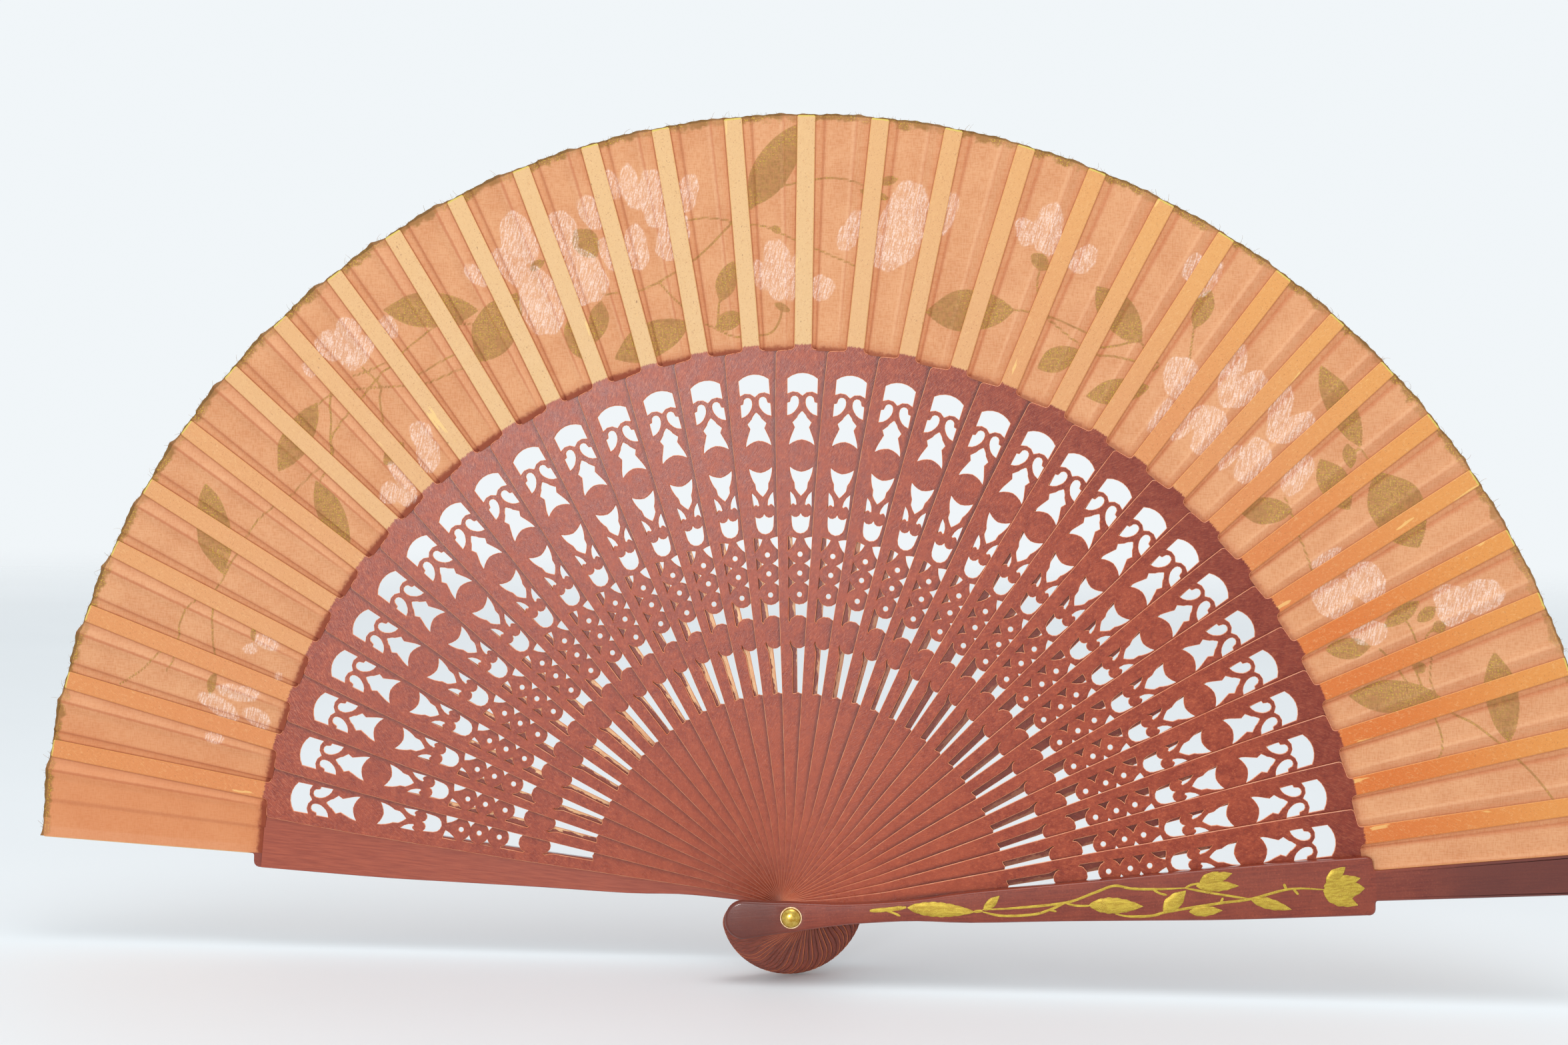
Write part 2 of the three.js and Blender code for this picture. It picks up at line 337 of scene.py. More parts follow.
def rib_parts(right_count, fold):
    """The point numbers of a mirrored outline below the fold, across it and above it."""
    last = 2 * right_count - 1
    below = [*range(fold + 1), *range(last - fold, last)]
    across = [fold, fold + 1, last - fold - 1, last - fold]
    above = list(range(fold + 1, last - fold))
    return [below, across, above]


STICK_BEVEL = 0.2


def stick_shape():
    """One stick: a pierced blade, and a rib that is thinner but flush with its front."""
    right, left, fold = stick_outline()
    half = STICK_THICKNESS / 2
    profile = [(STICK_BEVEL, -half), (0, STICK_BEVEL - half),
               (0, half - STICK_BEVEL), (STICK_BEVEL, half)]
    vertices, faces, walls = flat_piece(
        two_sided(right, left), stick_windows(), profile, rib_parts(len(right), fold))
    on_rib_back = (vertices[:, 1] > right[fold + 1][1] - 0.1) & (vertices[:, 2] < 0)
    vertices[on_rib_back, 2] += STICK_THICKNESS - RIB_THICKNESS
    return vertices, faces, walls


GUARD_ROUND = 0.85  # radius of the long outer edges
SLAT_HALF_BOTTOM = 4.05
SLAT_HALF_TOP = 5.5
GUARD_SIDE = [(2.9, 12), (2.65, 22), (2.85, 33), (4.05, 47), (4.95, 71), (6.15, 97), (6.9, 114),
              (7.4, 136), (7.65, BLADE_RADIUS - 0.1)]


def guard_half_width(along):
    """Half the width of a guard's broad part, at that distance from the rivet."""
    x, y = zip((4.0, 0), *GUARD_SIDE)
    return np.interp(along, y, x)


def smooth_line(points, steps):
    """A smooth line through the points (Catmull-Rom), with steps pieces in each stretch."""
    points = np.array(points, float)
    padded = np.concatenate([[2 * points[0] - points[1]], points, [2 * points[-1] - points[-2]]])
    line = []
    for p0, p1, p2, p3 in zip(padded, padded[1:], padded[2:], padded[3:]):
        for i in range(steps):
            t = i / steps
            line.append(0.5 * (2 * p1 + (p2 - p0) * t + (2 * p0 - 5 * p1 + 4 * p2 - p3) * t**2
                               + (3 * p1 - p0 - 3 * p2 + p3) * t**3))
    return np.array([*line, points[-1]])


def guard_shape():
    """One guard, its inner face at z = 0 and its rounded outer face towards +z."""
    head = head_points(GUARD_HEAD_LENGTH)
    neck = trace([head[-1], NECK_CORNERS[0]])[1:]
    side = [tuple(p) for p in smooth_line([neck[-1], *GUARD_SIDE], 3)[1:]]
    shoulder = GUARD_SHOULDER_RADIUS
    top = trace([
        (7.7, shoulder - 1.6), (6.2, shoulder - 0.1, 0.4), (SLAT_HALF_BOTTOM + 0.6, shoulder),
        (SLAT_HALF_BOTTOM, shoulder + 0.5, -0.15), (SLAT_HALF_TOP, LEAF_RADIUS - 0.5),
        (SLAT_HALF_TOP - 0.5, LEAF_RADIUS, 0.12),
    ])
    right = head + neck + side
    fold = len(right) - 1
    right += [(7.68, BLADE_RADIUS + 0.1), *top]
    turns = [math.pi / 2 * i / 5 for i in range(6)]
    rounding = [(GUARD_ROUND * (1 - math.cos(t)),
                 GUARD_THICKNESS - GUARD_ROUND * (1 - math.sin(t))) for t in turns]
    profile = [(0.15, 0), (0, 0.15), *rounding]
    holes = [circle(0, 0, PIN_HOLE_RADIUS, 24)]
    vertices, faces, walls = flat_piece(
        mirrored(right), holes, profile, rib_parts(len(right), fold))
    recessed = (vertices[:, 1] > BLADE_RADIUS) & (vertices[:, 2] < GUARD_THICKNESS / 4)
    vertices[recessed, 2] += LEAF_RECESS
    return vertices, faces, walls


def guard_surface(across, along):
    """Height of a guard's outer face, with its rounded edges, above the inner face."""
    edge = np.clip(guard_half_width(along) - np.abs(across), 0, GUARD_ROUND)
    drop = GUARD_ROUND - np.sqrt(GUARD_ROUND**2 - (GUARD_ROUND - edge) ** 2)
    return GUARD_THICKNESS - drop


# --- Meshes ---
def add_piece(name, vertices, faces, material, marks=None, sharp_angle=35):
    """A mesh object from frame points in metres. Its marks are point attributes."""
    mesh = bpy.data.meshes.new(name)
    mesh.from_pydata(np.asarray(vertices).tolist(), [], faces)
    for key, values in (marks or {}).items():
        values = np.asarray(values, np.float32)
        kind, field = ("FLOAT", "value") if values.ndim == 1 else ("FLOAT_VECTOR", "vector")
        attribute = mesh.attributes.new(key, kind, "POINT")
        attribute.data.foreach_set(field, values.ravel())
    mesh.materials.append(material)
    mesh.polygons.foreach_set("use_smooth", [True] * len(mesh.polygons))
    mesh.set_sharp_from_angle(angle=math.radians(sharp_angle))
    mesh.validate()
    piece = bpy.data.objects.new(name, mesh)
    bpy.context.scene.collection.objects.link(piece)
    return piece


def stand_for(piece, node, body):
    """The piece takes a CAD node's place: it rides on the node's body, and the node is hidden."""
    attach(piece, body)
    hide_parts(node)


def tube(rings, sides, start=0):
    """Faces of a tube of rings of points, numbered from start, closed at both ends."""
    faces = []
    last = start + (rings - 1) * sides
    for low in range(start, last, sides):
        for side in range(sides):
            after = (side + 1) % sides
            faces.append((low + side, low + after, low + sides + after, low + sides + side))
    faces.append(tuple(start + side for side in reversed(range(sides))))
    faces.append(tuple(last + side for side in range(sides)))
    return faces


def lathe(profile, sides, closed=False):
    """Vertices and faces of a profile of (radius, height) turned round the z axis."""
    vertices, faces = [], []
    count = len(profile)
    for side in range(sides):
        turn = 2 * math.pi * side / sides
        vertices += [(r * math.cos(turn), r * math.sin(turn), z) for r, z in profile]
    for side in range(sides):
        a, b = side * count, (side + 1) % sides * count
        for i in range(count if closed else count - 1):
            j = (i + 1) % count
            faces.append((a + i, b + i, b + j, a + j))
    if not closed:
        faces.append(tuple(side * count for side in reversed(range(sides))))
        faces.append(tuple(side * count + count - 1 for side in range(sides)))
    return np.array(vertices), faces


# --- Materials ---
def srgb(red, green, blue):
    """An sRGB colour, 0 to 255, as the linear colour that nodes take."""
    parts = [c / 255 for c in (red, green, blue)]
    linear = [c / 12.92 if c < 0.04 else ((c + 0.055) / 1.055) ** 2.4 for c in parts]
    return (*linear, 1.0)


SHADER_INPUTS = {
    "colour": "Base Color", "roughness": "Roughness", "metallic": "Metallic",
    "specular": "Specular IOR Level", "coat": "Coat Weight", "coat_roughness": "Coat Roughness",
    "alpha": "Alpha", "normal": "Normal",
}


class Painter:
    """Short calls that build one material's node tree."""

    def __init__(self, name, **plain):
        """plain gives the shader plain values, before any nodes take their places."""
        self.material = bpy.data.materials.new(name)
        self.material.use_nodes = True
        self.tree = self.material.node_tree
        self.shader = self.tree.nodes["Principled BSDF"]
        self.shade(**plain)

    def feed(self, socket, value):
        """Gives a socket a plain value or another node's result."""
        if isinstance(value, bpy.types.NodeSocket):
            self.tree.links.new(value, socket)
        else:
            socket.default_value = value

    def shade(self, **inputs):
        """Feeds the shader, and returns the material."""
        for key, value in inputs.items():
            self.feed(self.shader.inputs[SHADER_INPUTS[key]], value)
        return self.material

    def node(self, kind, inputs=(), output=0, **settings):
        made = self.tree.nodes.new(kind)
        for key, value in settings.items():
            setattr(made, key, value)
        for slot, value in dict(inputs).items():
            self.feed(made.inputs[slot], value)
        return made.outputs[output]

    def attribute(self, name, output="Fac"):
        return self.node("ShaderNodeAttribute", output=output, attribute_name=name)

    def object_place(self):
        return self.node("ShaderNodeTexCoord", output="Object")

    def axes(self, vector):
        """The x, y and z of a vector."""
        return self.node("ShaderNodeSeparateXYZ", {0: vector}).node.outputs

    def maths(self, operation, a, b=0.0, c=0.0):
        return self.node("ShaderNodeMath", {0: a, 1: b, 2: c}, operation=operation)

    def times(self, *factors):
        product = factors[0]
        for factor in factors[1:]:
            product = self.maths("MULTIPLY", product, factor)
        return product

    def plus(self, value, other, factor=1.0):
        """The value and factor times the other one."""
        return self.maths("MULTIPLY_ADD", other, factor, value)

    def turned(self, vector, degrees):
        return self.node("ShaderNodeVectorRotate", {
            "Vector": vector, "Angle": math.radians(degrees)}, rotation_type="Z_AXIS")

    def noise(self, vector, scale, detail=3.0, roughness=0.5):
        """Noise with one scale, or with a scale for each axis."""
        if isinstance(scale, tuple):
            stretch = {0: vector, 1: scale}
            vector = self.node("ShaderNodeVectorMath", stretch, operation="MULTIPLY")
            scale = 1.0
        return self.node("ShaderNodeTexNoise", {
            "Vector": vector, "Scale": scale, "Detail": detail, "Roughness": roughness})

    def step(self, value, low, high, bottom=0.0, top=1.0):
        """bottom at low and top at high, smooth between them. low may be the larger one."""
        return self.node("ShaderNodeMapRange", {
            "Value": value, "From Min": low, "From Max": high, "To Min": bottom, "To Max": top,
        }, interpolation_type="SMOOTHSTEP")

    def band(self, value, low, start, end, high):
        """1 from start to end, and 0 below low and above high."""
        return self.times(self.step(value, low, start), self.step(value, high, end))

    def mix(self, share, a, b):
        return self.node("ShaderNodeMix", {0: share, 6: a, 7: b}, output=2, data_type="RGBA")

    def shades(self, value, low, high, first, second):
        """From the first sRGB colour at low to the second one at high."""
        return self.mix(self.step(value, low, high), srgb(*first), srgb(*second))

    def coats(self, colour, *coats):
        """The colour under coats of paint: (share, sRGB colour), or (value, low, high, most,
        sRGB colour) for a share that goes from 0 at low to most at high."""
        for share, *edges, paint in coats:
            if edges:
                low, high, most = edges
                share = self.step(share, low, high, 0.0, most)
            colour = self.mix(share, colour, srgb(*paint))
        return colour

    def bump(self, height, distance, strength):
        inputs = {"Height": height, "Distance": distance, "Strength": strength}
        return self.node("ShaderNodeBump", inputs)


def stick_noises(p):
    """The wood's coordinates, marks and noises that the stick's colours are mixed by."""
    grain = p.attribute("grain", "Vector")
    across, along, _ = p.axes(grain)
    return SimpleNamespace(
        grain=grain, across=across, along=along,
        tone=p.attribute("tone"), turn=p.attribute("turn"), wall=p.attribute("wall"),
        fibres=p.noise(grain, (3.2, 0.3, 3.2), 4.0, 0.65),
        blotches=p.noise(grain, 0.3, 4.0, 0.6),
        mottle=p.noise(grain, (1.5, 0.9, 1.5), 5.0, 0.75),
        scratches=p.noise(p.turned(grain, 35), (5.5, 0.5, 5.5), 2.0, 0.6),
        speckle=p.noise(grain, 2.6, 2.0, 0.7),
    )


def blade_dye(p, wood):
    """The reddish dye of the blade, mottled, scratched and speckled, with painted shade at the
    tops of the right-hand blades.
    """
    mottle, scratches, along = wood.mottle, wood.scratches, wood.along
    scratched = p.step(along, 128, 142, 0.12, 0.4)
    # painted shade: the tops of the blades darken towards the right of the fan
    top = p.times(p.step(along, 122, 149), p.step(wood.turn, 0.45, 0.8, 0.0, 0.45))
    return p.coats(
        p.shades(wood.blotches, 0.3, 0.7, (134, 47, 24), (154, 63, 35)),
        (mottle, 0.5, 0.66, 0.6, (184, 92, 56)),
        (mottle, 0.46, 0.32, 0.6, (96, 27, 15)),
        (p.times(p.step(scratches, 0.56, 0.64), scratched), (196, 116, 84)),
        (p.times(p.step(scratches, 0.42, 0.34), scratched), (88, 25, 15)),
        (wood.speckle, 0.66, 0.72, 0.6, (78, 28, 22)),
        (along, 62, 44, 0.4, (166, 74, 40)),
        (top, (94, 26, 22)),
    )


# The next stick as seen from a stick's own middle line, by the distance along it.
NEXT_STICK_LEAN = 0.0932  # how far to the right its middle lies
NEXT_STICK_SLOPE, NEXT_STICK_START, NEXT_STICK_MOST = 0.0429, 1.81, 7.3  # half its width


def beside_next_stick(p, wood, dye):
    """A painted shadow darkens the dye beside the next stick's edge, and behind it the dye is
    patchy.
    """
    along, turn = wood.along, wood.turn
    half = p.plus(NEXT_STICK_START, along, NEXT_STICK_SLOPE)
    half = p.maths("MINIMUM", half, NEXT_STICK_MOST)
    past = p.plus(p.plus(wood.across, along, -NEXT_STICK_LEAN), half)
    # painted shadow of the next stick, beside and under its edge, stronger to the right
    contact_shadow = p.times(p.step(past, -1.3, -0.1), p.step(past, 1.2, 0.2, 0.7, 1.0),
                      p.step(along, 16, 44), p.step(turn, 0.3, 0.9, 0.4, 0.8))
    dye = p.coats(dye, (contact_shadow, (72, 24, 19)))
    raw = p.shades(wood.fibres, 0.35, 0.65, (224, 166, 114), (248, 204, 150))
    patchy = p.plus(p.noise(wood.grain, (0.8, 0.3, 0.8), 3.0, 0.6),
                    p.noise(wood.grain, (0.01, 0.01, 0.37), 1.0))
    missed = p.times(p.step(p.plus(past, patchy, 3.0), 6.4, 6.7),
                     p.step(turn, 0.62, 0.4, 0.12, 0.85), p.step(along, 50, 62))
    return p.mix(missed, dye, raw)


def raw_and_highlit_edges(p, wood, dye):
    """The dyed head beyond the rivet, and the raw wood along the blade's edges, made lighter as a
    painted edge highlight.
    """
    fibres, along = wood.fibres, wood.along
    head = p.step(along, -2.0, -9.0, 0.0, 0.9)
    dye = p.mix(head, dye, p.shades(fibres, 0.35, 0.65, (92, 31, 15), (128, 50, 26)))
    glow = p.noise(wood.grain, (0.05, 0.07, 0.37), 1.0)
    # raw wood on the cut edges, brightened as a painted highlight along each blade's edge
    highlit_blade_edge = p.shades(fibres, 0.3, 0.7, (216, 124, 86), (246, 182, 140))
    head_edge = p.shades(glow, 0.42, 0.58, (100, 36, 19), (222, 126, 74))
    raw_and_highlit = p.times(p.maths("MAXIMUM", head, p.step(along, 8, 48, 0.3, 1.0)),
                   p.step(wood.wall, 0.1, 0.6, 0.0, 0.85))
    return p.mix(raw_and_highlit, dye, p.mix(head, highlit_blade_edge, head_edge))


def rib_wood(p, wood):
    """The bare ribs: more orange to the right, palest where a painted sheen falls, with flecks,
    traces of glue and a painted highlight on their cut edges.
    """
    mottle, tone = wood.mottle, wood.tone
    golden = p.times(p.step(wood.along, 158, 212), p.step(wood.turn, 0.5, 0.7, 0.1, 0.55))
    fleck = p.times(p.step(p.noise(wood.grain, (1.6, 0.8, 1.0), 2.0), 0.7, 0.76),
                    p.step(tone, 0.35, 0.1, 0.15, 0.6))
    glue = p.noise(wood.grain, (0.3, 0.05, 0.31), 3.0, 0.55)
    return p.coats(
        # the ribs' own tone, made palest in the middle sticks as a painted sheen
        p.mix(tone, srgb(212, 172, 122), srgb(202, 106, 40)),
        (golden, (220, 160, 82)),
        (mottle, 0.52, 0.7, 0.35, (228, 186, 130)),
        (mottle, 0.46, 0.3, 0.35, (190, 126, 70)),
        (wood.scratches, 0.6, 0.7, 0.3, (226, 178, 116)),
        (wood.speckle, 0.6, 0.7, 0.55, (158, 94, 52)),
        (fleck, (118, 72, 48)),
        (glue, 0.68, 0.7, 0.5, (238, 200, 122)),
        # painted highlight: the rib's cut edges lighter than its face
        (wood.wall, 0.15, 0.75, 0.6, (232, 172, 104)),
    )


def stick_wood():
    """Dyed wood up to just above the shoulders, and the bare pale wood of the ribs."""
    p = Painter("stick_wood", roughness=0.42, specular=0.36)
    wood = stick_noises(p)
    dyed = raw_and_highlit_edges(p, wood, beside_next_stick(p, wood, blade_dye(p, wood)))
    ragged = p.plus(wood.along, wood.fibres, 1.6)
    bare = p.step(ragged, BLADE_RADIUS + 1.9, BLADE_RADIUS + 2.4)
    rim = p.step(p.plus(wood.along, wood.mottle), LEAF_RADIUS, LEAF_RADIUS + 0.2)
    colour = p.coats(p.mix(bare, dyed, rib_wood(p, wood)), (rim, (206, 182, 84)))
    relief = p.plus(p.times(wood.scratches, 0.6), wood.mottle, 0.6)
    relief = p.plus(relief, wood.speckle, 0.4)
    roughness = p.plus(p.step(wood.blotches, 0.3, 0.7, 0.27, 0.33), bare, 0.2)
    return p.shade(colour=colour, roughness=roughness, normal=p.bump(relief, 0.00012, 0.4))


def guard_wood():
    """The guards: the same dye under a satin varnish, darker on the slats and the head."""
    p = Painter("guard_wood", roughness=0.33, specular=0.22, coat=0.55, coat_roughness=0.12)
    grain = p.attribute("grain", "Vector")
    _, along, height = p.axes(grain)
    fibres = p.noise(grain, (2.2, 0.12, 2.2), 4.0, 0.6)
    blotches = p.noise(grain, 0.16, 3.0, 0.5)
    speckle = p.noise(grain, 2.2, 3.0, 0.7)
    shoulder = GUARD_SHOULDER_RADIUS
    slat = p.times(p.step(along, shoulder + 4, shoulder + 30, 0.2, 0.75),
                   p.step(along, shoulder, shoulder + 0.5))
    varnished = p.coats(
        p.shades(fibres, 0.3, 0.7, (112, 40, 26), (132, 54, 34)),
        (blotches, 0.35, 0.7, 0.5, (140, 62, 40)),
        (speckle, 0.56, 0.7, 0.4, (74, 26, 20)),
        (speckle, 0.44, 0.32, 0.35, (166, 84, 58)),
        (slat, (84, 36, 29)),
    )
    inner = p.step(height, 0.12, 0.0)
    matt = p.shades(fibres, 0.3, 0.7, (138, 58, 38), (160, 75, 50))
    raw = p.times(p.step(height, 1.9, 1.6), p.step(height, 0.05, 0.3),
                  p.step(along, shoulder, LEAF_INNER_RADIUS + 4))
    colour = p.coats(
        p.mix(inner, varnished, matt),
        (raw, (216, 168, 112)),
        (along, 6.0, -8.0, 0.7, (82, 38, 30)),
    )
    normal = p.bump(p.plus(fibres, speckle, 0.3), 0.0001, 0.35)
    return p.shade(colour=colour, roughness=p.step(inner, 0.0, 1.0, 0.33, 0.5), normal=normal)


def gold_paint():
    """Flaked gold paint, thin in places over the dyed wood."""
    p = Painter("gold_paint", metallic=0.6, roughness=0.42)
    grain = p.attribute("grain", "Vector")
    flakes = p.noise(grain, 4.0, 2.0, 0.7)
    brush = p.noise(grain, (2.2, 0.5, 1.0), 3.0, 0.6)
    thin = p.noise(grain, 0.35, 2.0, 0.5)
    colour = p.coats(
        p.shades(brush, 0.3, 0.7, (166, 134, 44), (194, 168, 62)),
        (flakes, 0.6, 0.7, 0.6, (226, 208, 112)),
        (flakes, 0.4, 0.3, 0.5, (136, 102, 34)),
        (p.times(p.step(flakes, 0.44, 0.36), p.step(thin, 0.55, 0.65), 0.7), (120, 62, 38)),
    )
    roughness = p.step(flakes, 0.3, 0.7, 0.34, 0.52)
    return p.shade(colour=colour, roughness=roughness, normal=p.bump(flakes, 0.00006, 0.5))


def brass(name, dark, light, roughness):
    """Brass with smudges and fine scratches between two sRGB colours."""
    p = Painter(name, metallic=1.0, roughness=roughness)
    place = p.object_place()
    colour = p.shades(p.noise(place, 900.0, 3.0, 0.6), 0.3, 0.7, dark, light)
    scratches = p.noise(place, (6000.0, 900.0, 2500.0), 2.0, 0.6)
    rough = p.step(scratches, 0.3, 0.7, roughness - 0.06, roughness + 0.1)
    return p.shade(colour=colour, roughness=rough, normal=p.bump(scratches, 0.00002, 0.3))


def cloth_noises(p):
    """The cloth's coordinates and noises that the leaf's colours are mixed by."""
    cloth = p.attribute("cloth", "Vector")
    place, height, seam = p.axes(p.attribute("leaf_place", "Vector"))
    inside = p.maths("FRACT", place)
    edge = p.noise(cloth, 0.8, 3.0, 0.6)
    clouds = p.noise(cloth, 0.09, 3.0, 0.5)
    glitter = p.times(p.step(p.noise(cloth, 2.2, 2.0, 0.75), 0.54, 0.62),
                      p.step(clouds, 0.38, 0.52))
    weave = p.plus(p.noise(cloth, (3.0, 0.5, 0.0), 2.0, 0.6),
                   p.noise(cloth, (0.5, 3.0, 0.0), 2.0, 0.6))
    return SimpleNamespace(
        cloth=cloth, place=place, height=height, seam=seam, inside=inside, edge=edge,
        clouds=clouds, glitter=glitter, weave=p.times(weave, 0.5),
        fine=p.noise(cloth, 1.9, 3.0, 0.65), grown=p.step(height, 0.0, 12.0, 0.35, 1.0),
        wander=p.plus(inside, edge, 0.03),
    )


def bare_cloth(p, leaf):
    """Apricot cotton, with stains beside the ribs and a painted shadow as a darker outline along
    them.
    """
    place, seam = leaf.place, leaf.seam
    beside = p.step(seam, 1.7, 2.2)  # not behind the rib itself, which shows from the back
    stain = p.times(p.step(seam, 4.6, 2.4), p.step(leaf.edge, 0.25, 0.75, 0.35, 1.0),
                    p.step(place, 0.45, 0.55, 0.0, 0.45), p.plus(0.3, beside, 0.7))
    # painted shadow: a darker line along each rib's edge, weaker on the right
    outline = p.times(p.step(seam, 2.9, 2.5), p.step(place, 0.45, 0.55, 0.0, 0.55), beside,
                      p.step(place, 24, 12, 0.45, 1.0))
    return p.coats(
        p.shades(leaf.clouds, 0.3, 0.7, (200, 137, 95), (209, 149, 106)),
        (leaf.weave, 0.4, 0.62, 0.3, (223, 174, 136)),
        (leaf.weave, 0.5, 0.36, 0.3, (186, 119, 80)),
        (place, 2.6, 0.4, 0.55, (202, 122, 76)),
        (stain, (192, 112, 70)),
        (outline, (148, 74, 46)),
    )


def painted_pleat_shading(p, leaf, colour):
    """Painted light and shade on the pleats: the narrow panel before each rib, with the ridge at
    its left, and the valley.
    """
    place, grown, wander = leaf.place, leaf.grown, leaf.wander
    panel = p.times(p.band(leaf.inside, RIDGE - 0.01, RIDGE + 0.01, 0.86, 0.9), grown)
    crease_shade = p.band(wander, RIDGE - 0.03, RIDGE - 0.005, RIDGE + 0.01, RIDGE + 0.035)
    crest_highlight = p.band(wander, RIDGE - 0.07, RIDGE - 0.04, RIDGE - 0.01, RIDGE + 0.01)
    valley = p.band(wander, VALLEY - 0.01, VALLEY + 0.03, VALLEY + 0.045, VALLEY + 0.09)
    # painted light on the panels of the left half and painted shade on the right half, a painted
    # shade line in the crease, a painted highlight on the crest and painted shade in the valley
    return p.coats(
        colour,
        (p.times(panel, p.step(place, 15, 8), 0.12), (226, 172, 140)),
        (p.times(panel, p.step(place, 15, 24), 0.1), (186, 104, 72)),
        (p.times(crease_shade, p.step(place, 20, 11, 0.2, 0.6), grown), (182, 106, 72)),
        (p.times(crest_highlight, p.step(place, 9, 16, 0.0, 0.16), grown), (236, 190, 152)),
        (p.times(valley, 0.35), (188, 112, 76)),
    )


def inner_stain_and_shade(p, leaf, colour):
    """Painted shade spreading up from the inner edge, and the dark, ragged stain along it where
    the cloth lies on the dyed blades.
    """
    height, place = leaf.height, leaf.place
    # painted shade: darker towards the leaf's inner edge, less on the right
    inner_shade = p.times(p.step(height, 3.2, -0.6), p.step(place, 24, 12, 0.35, 0.6))
    ragged = p.plus(height, leaf.edge, 2.0)
    ragged = p.plus(ragged, p.step(place, 16, 11, 0.0, 0.7), -1.0)
    band = p.times(p.step(ragged, 1.9, 0.6), p.step(place, 26, 12, 0.35, 0.8))
    return p.coats(colour, (inner_shade, (176, 98, 66)), (band, (120, 46, 34)))


def olive_leaves(p, leaf, colour):
    """Leaves and stems in thin olive paint with specks of gold."""
    olive = p.attribute("olive_paint")
    dye = p.shades(leaf.edge, 0.35, 0.65, (138, 98, 52), (154, 116, 60))
    dye = p.coats(dye, (p.times(leaf.glitter, 0.9), (188, 166, 40)))
    cover = p.times(p.step(p.plus(olive, leaf.fine, 0.35), 0.5, 0.8),
                    p.step(olive, 0.0, 0.9, 0.6, 1.0),
                    p.step(leaf.weave, 0.38, 0.6, 0.45, 0.82))
    return p.mix(cover, colour, dye)


def gold_border(p, leaf, colour):
    """The gold border along the rim, dripping inwards, and the dark cut edge."""
    height = leaf.height
    from_rim = p.plus(height, p.noise(leaf.cloth, 0.33, 2.0, 0.6), -5.0)
    border = p.times(p.step(from_rim, 57.2, 58.6),
                     p.step(leaf.inside, RIDGE + 0.02, RIDGE - 0.08, 0.4, 0.75),
                     p.step(leaf.place, 32, 24, 0.5, 1.0))
    dye = p.mix(leaf.glitter, srgb(138, 98, 50), srgb(192, 168, 44))
    rim = p.step(p.plus(height, leaf.edge, -0.6), 61.2, 61.6, 0.0, 0.6)
    return p.coats(p.mix(border, colour, dye), (rim, (88, 66, 34)))


def white_petals(p, leaf, colour):
    """Flowers in dry brushed white paint."""
    white = p.attribute("white_paint")
    streaks = p.noise(p.turned(leaf.cloth, 14), (2.6, 0.3, 0.0), 3.0, 0.7)
    petals = p.times(p.step(white, 0.2, 0.7), p.step(white, 0.5, 1.0, 0.84, 0.62))
    dry = p.times(p.step(streaks, 0.42, 0.6, 0.15, 1.0),
                  p.step(leaf.fine, 0.36, 0.6, 0.3, 1.0))
    return p.coats(colour, (p.times(petals, dry), (240, 216, 202)))


def leaf_cloth():
    """Thin cotton with its pleats and their painted light and shade, its stained inner edge with
    painted shade above it, and its painting.
    """
    p = Painter("leaf_cloth", roughness=0.92, specular=0.2)
    leaf = cloth_noises(p)
    colour = bare_cloth(p, leaf)
    for layer in (painted_pleat_shading, inner_stain_and_shade, olive_leaves, gold_border, white_petals):
        colour = layer(p, leaf, colour)
    return p.shade(colour=colour, normal=p.bump(leaf.weave, 0.00018, 0.6))


def thread():
    """The leaf's loose threads, dark with gold paint or bare."""
    p = Painter("leaf_thread", roughness=0.9)
    twist = p.noise(p.object_place(), 3000.0, 2.0, 0.5)
    colour = p.shades(twist, 0.35, 0.65, (92, 72, 38), (176, 134, 84))
    return p.shade(colour=colour, normal=p.bump(twist, 0.00003, 0.4))


def floor_white():
    """A pale floor that fades out far from the fan."""
    p = Painter("floor_white", roughness=0.6)
    place = p.object_place()
    distance = p.node("ShaderNodeVectorMath", {0: place}, output="Value", operation="LENGTH")
    mottle = p.noise(place, 6.0, 3.0, 0.5)
    colour = p.mix(mottle, srgb(225, 228, 230), srgb(231, 234, 236))
    fade = p.step(distance, FLOOR_RADIUS * 0.45, FLOOR_RADIUS * 0.98, 1.0, 0.0)
    return p.shade(colour=colour, alpha=fade)


# --- Sticks, guards and metal ---
GRAIN_STEP = 41.0  # each stick is cut from the grain this far behind the one before


def rib_tone_and_sheen(k):
    """How orange a rib is: palest a third of the way round, as a painted sheen, and more orange to
    the right.
    """
    return float(np.interp(k, [1, 5, 9, 16, 20, 25, 30], [0.75, 0.5, 0.05, 0, 0.4, 0.8, 1]))


def add_sticks():
    vertices, faces, walls = stick_shape()
    material = stick_wood()
    for k in range(1, LAST):
        name = BODY_NAMES[k]
        placed = stand_up(turn_to(vertices, REST_ANGLES[k], STICK_LEVELS[k]))
        grain = vertices + [0, 0, GRAIN_STEP * k]
        tone = np.clip(rib_tone_and_sheen(k) + RANDOM.uniform(-0.08, 0.08), 0, 1)
        marks = {"wall": walls, "tone": np.full(len(walls), tone),
                 "turn": np.full(len(walls), SHARES[k]), "grain": grain}
        piece = add_piece(f"{name}_wood", placed, faces, material, marks)
        stand_for(piece, name, name)


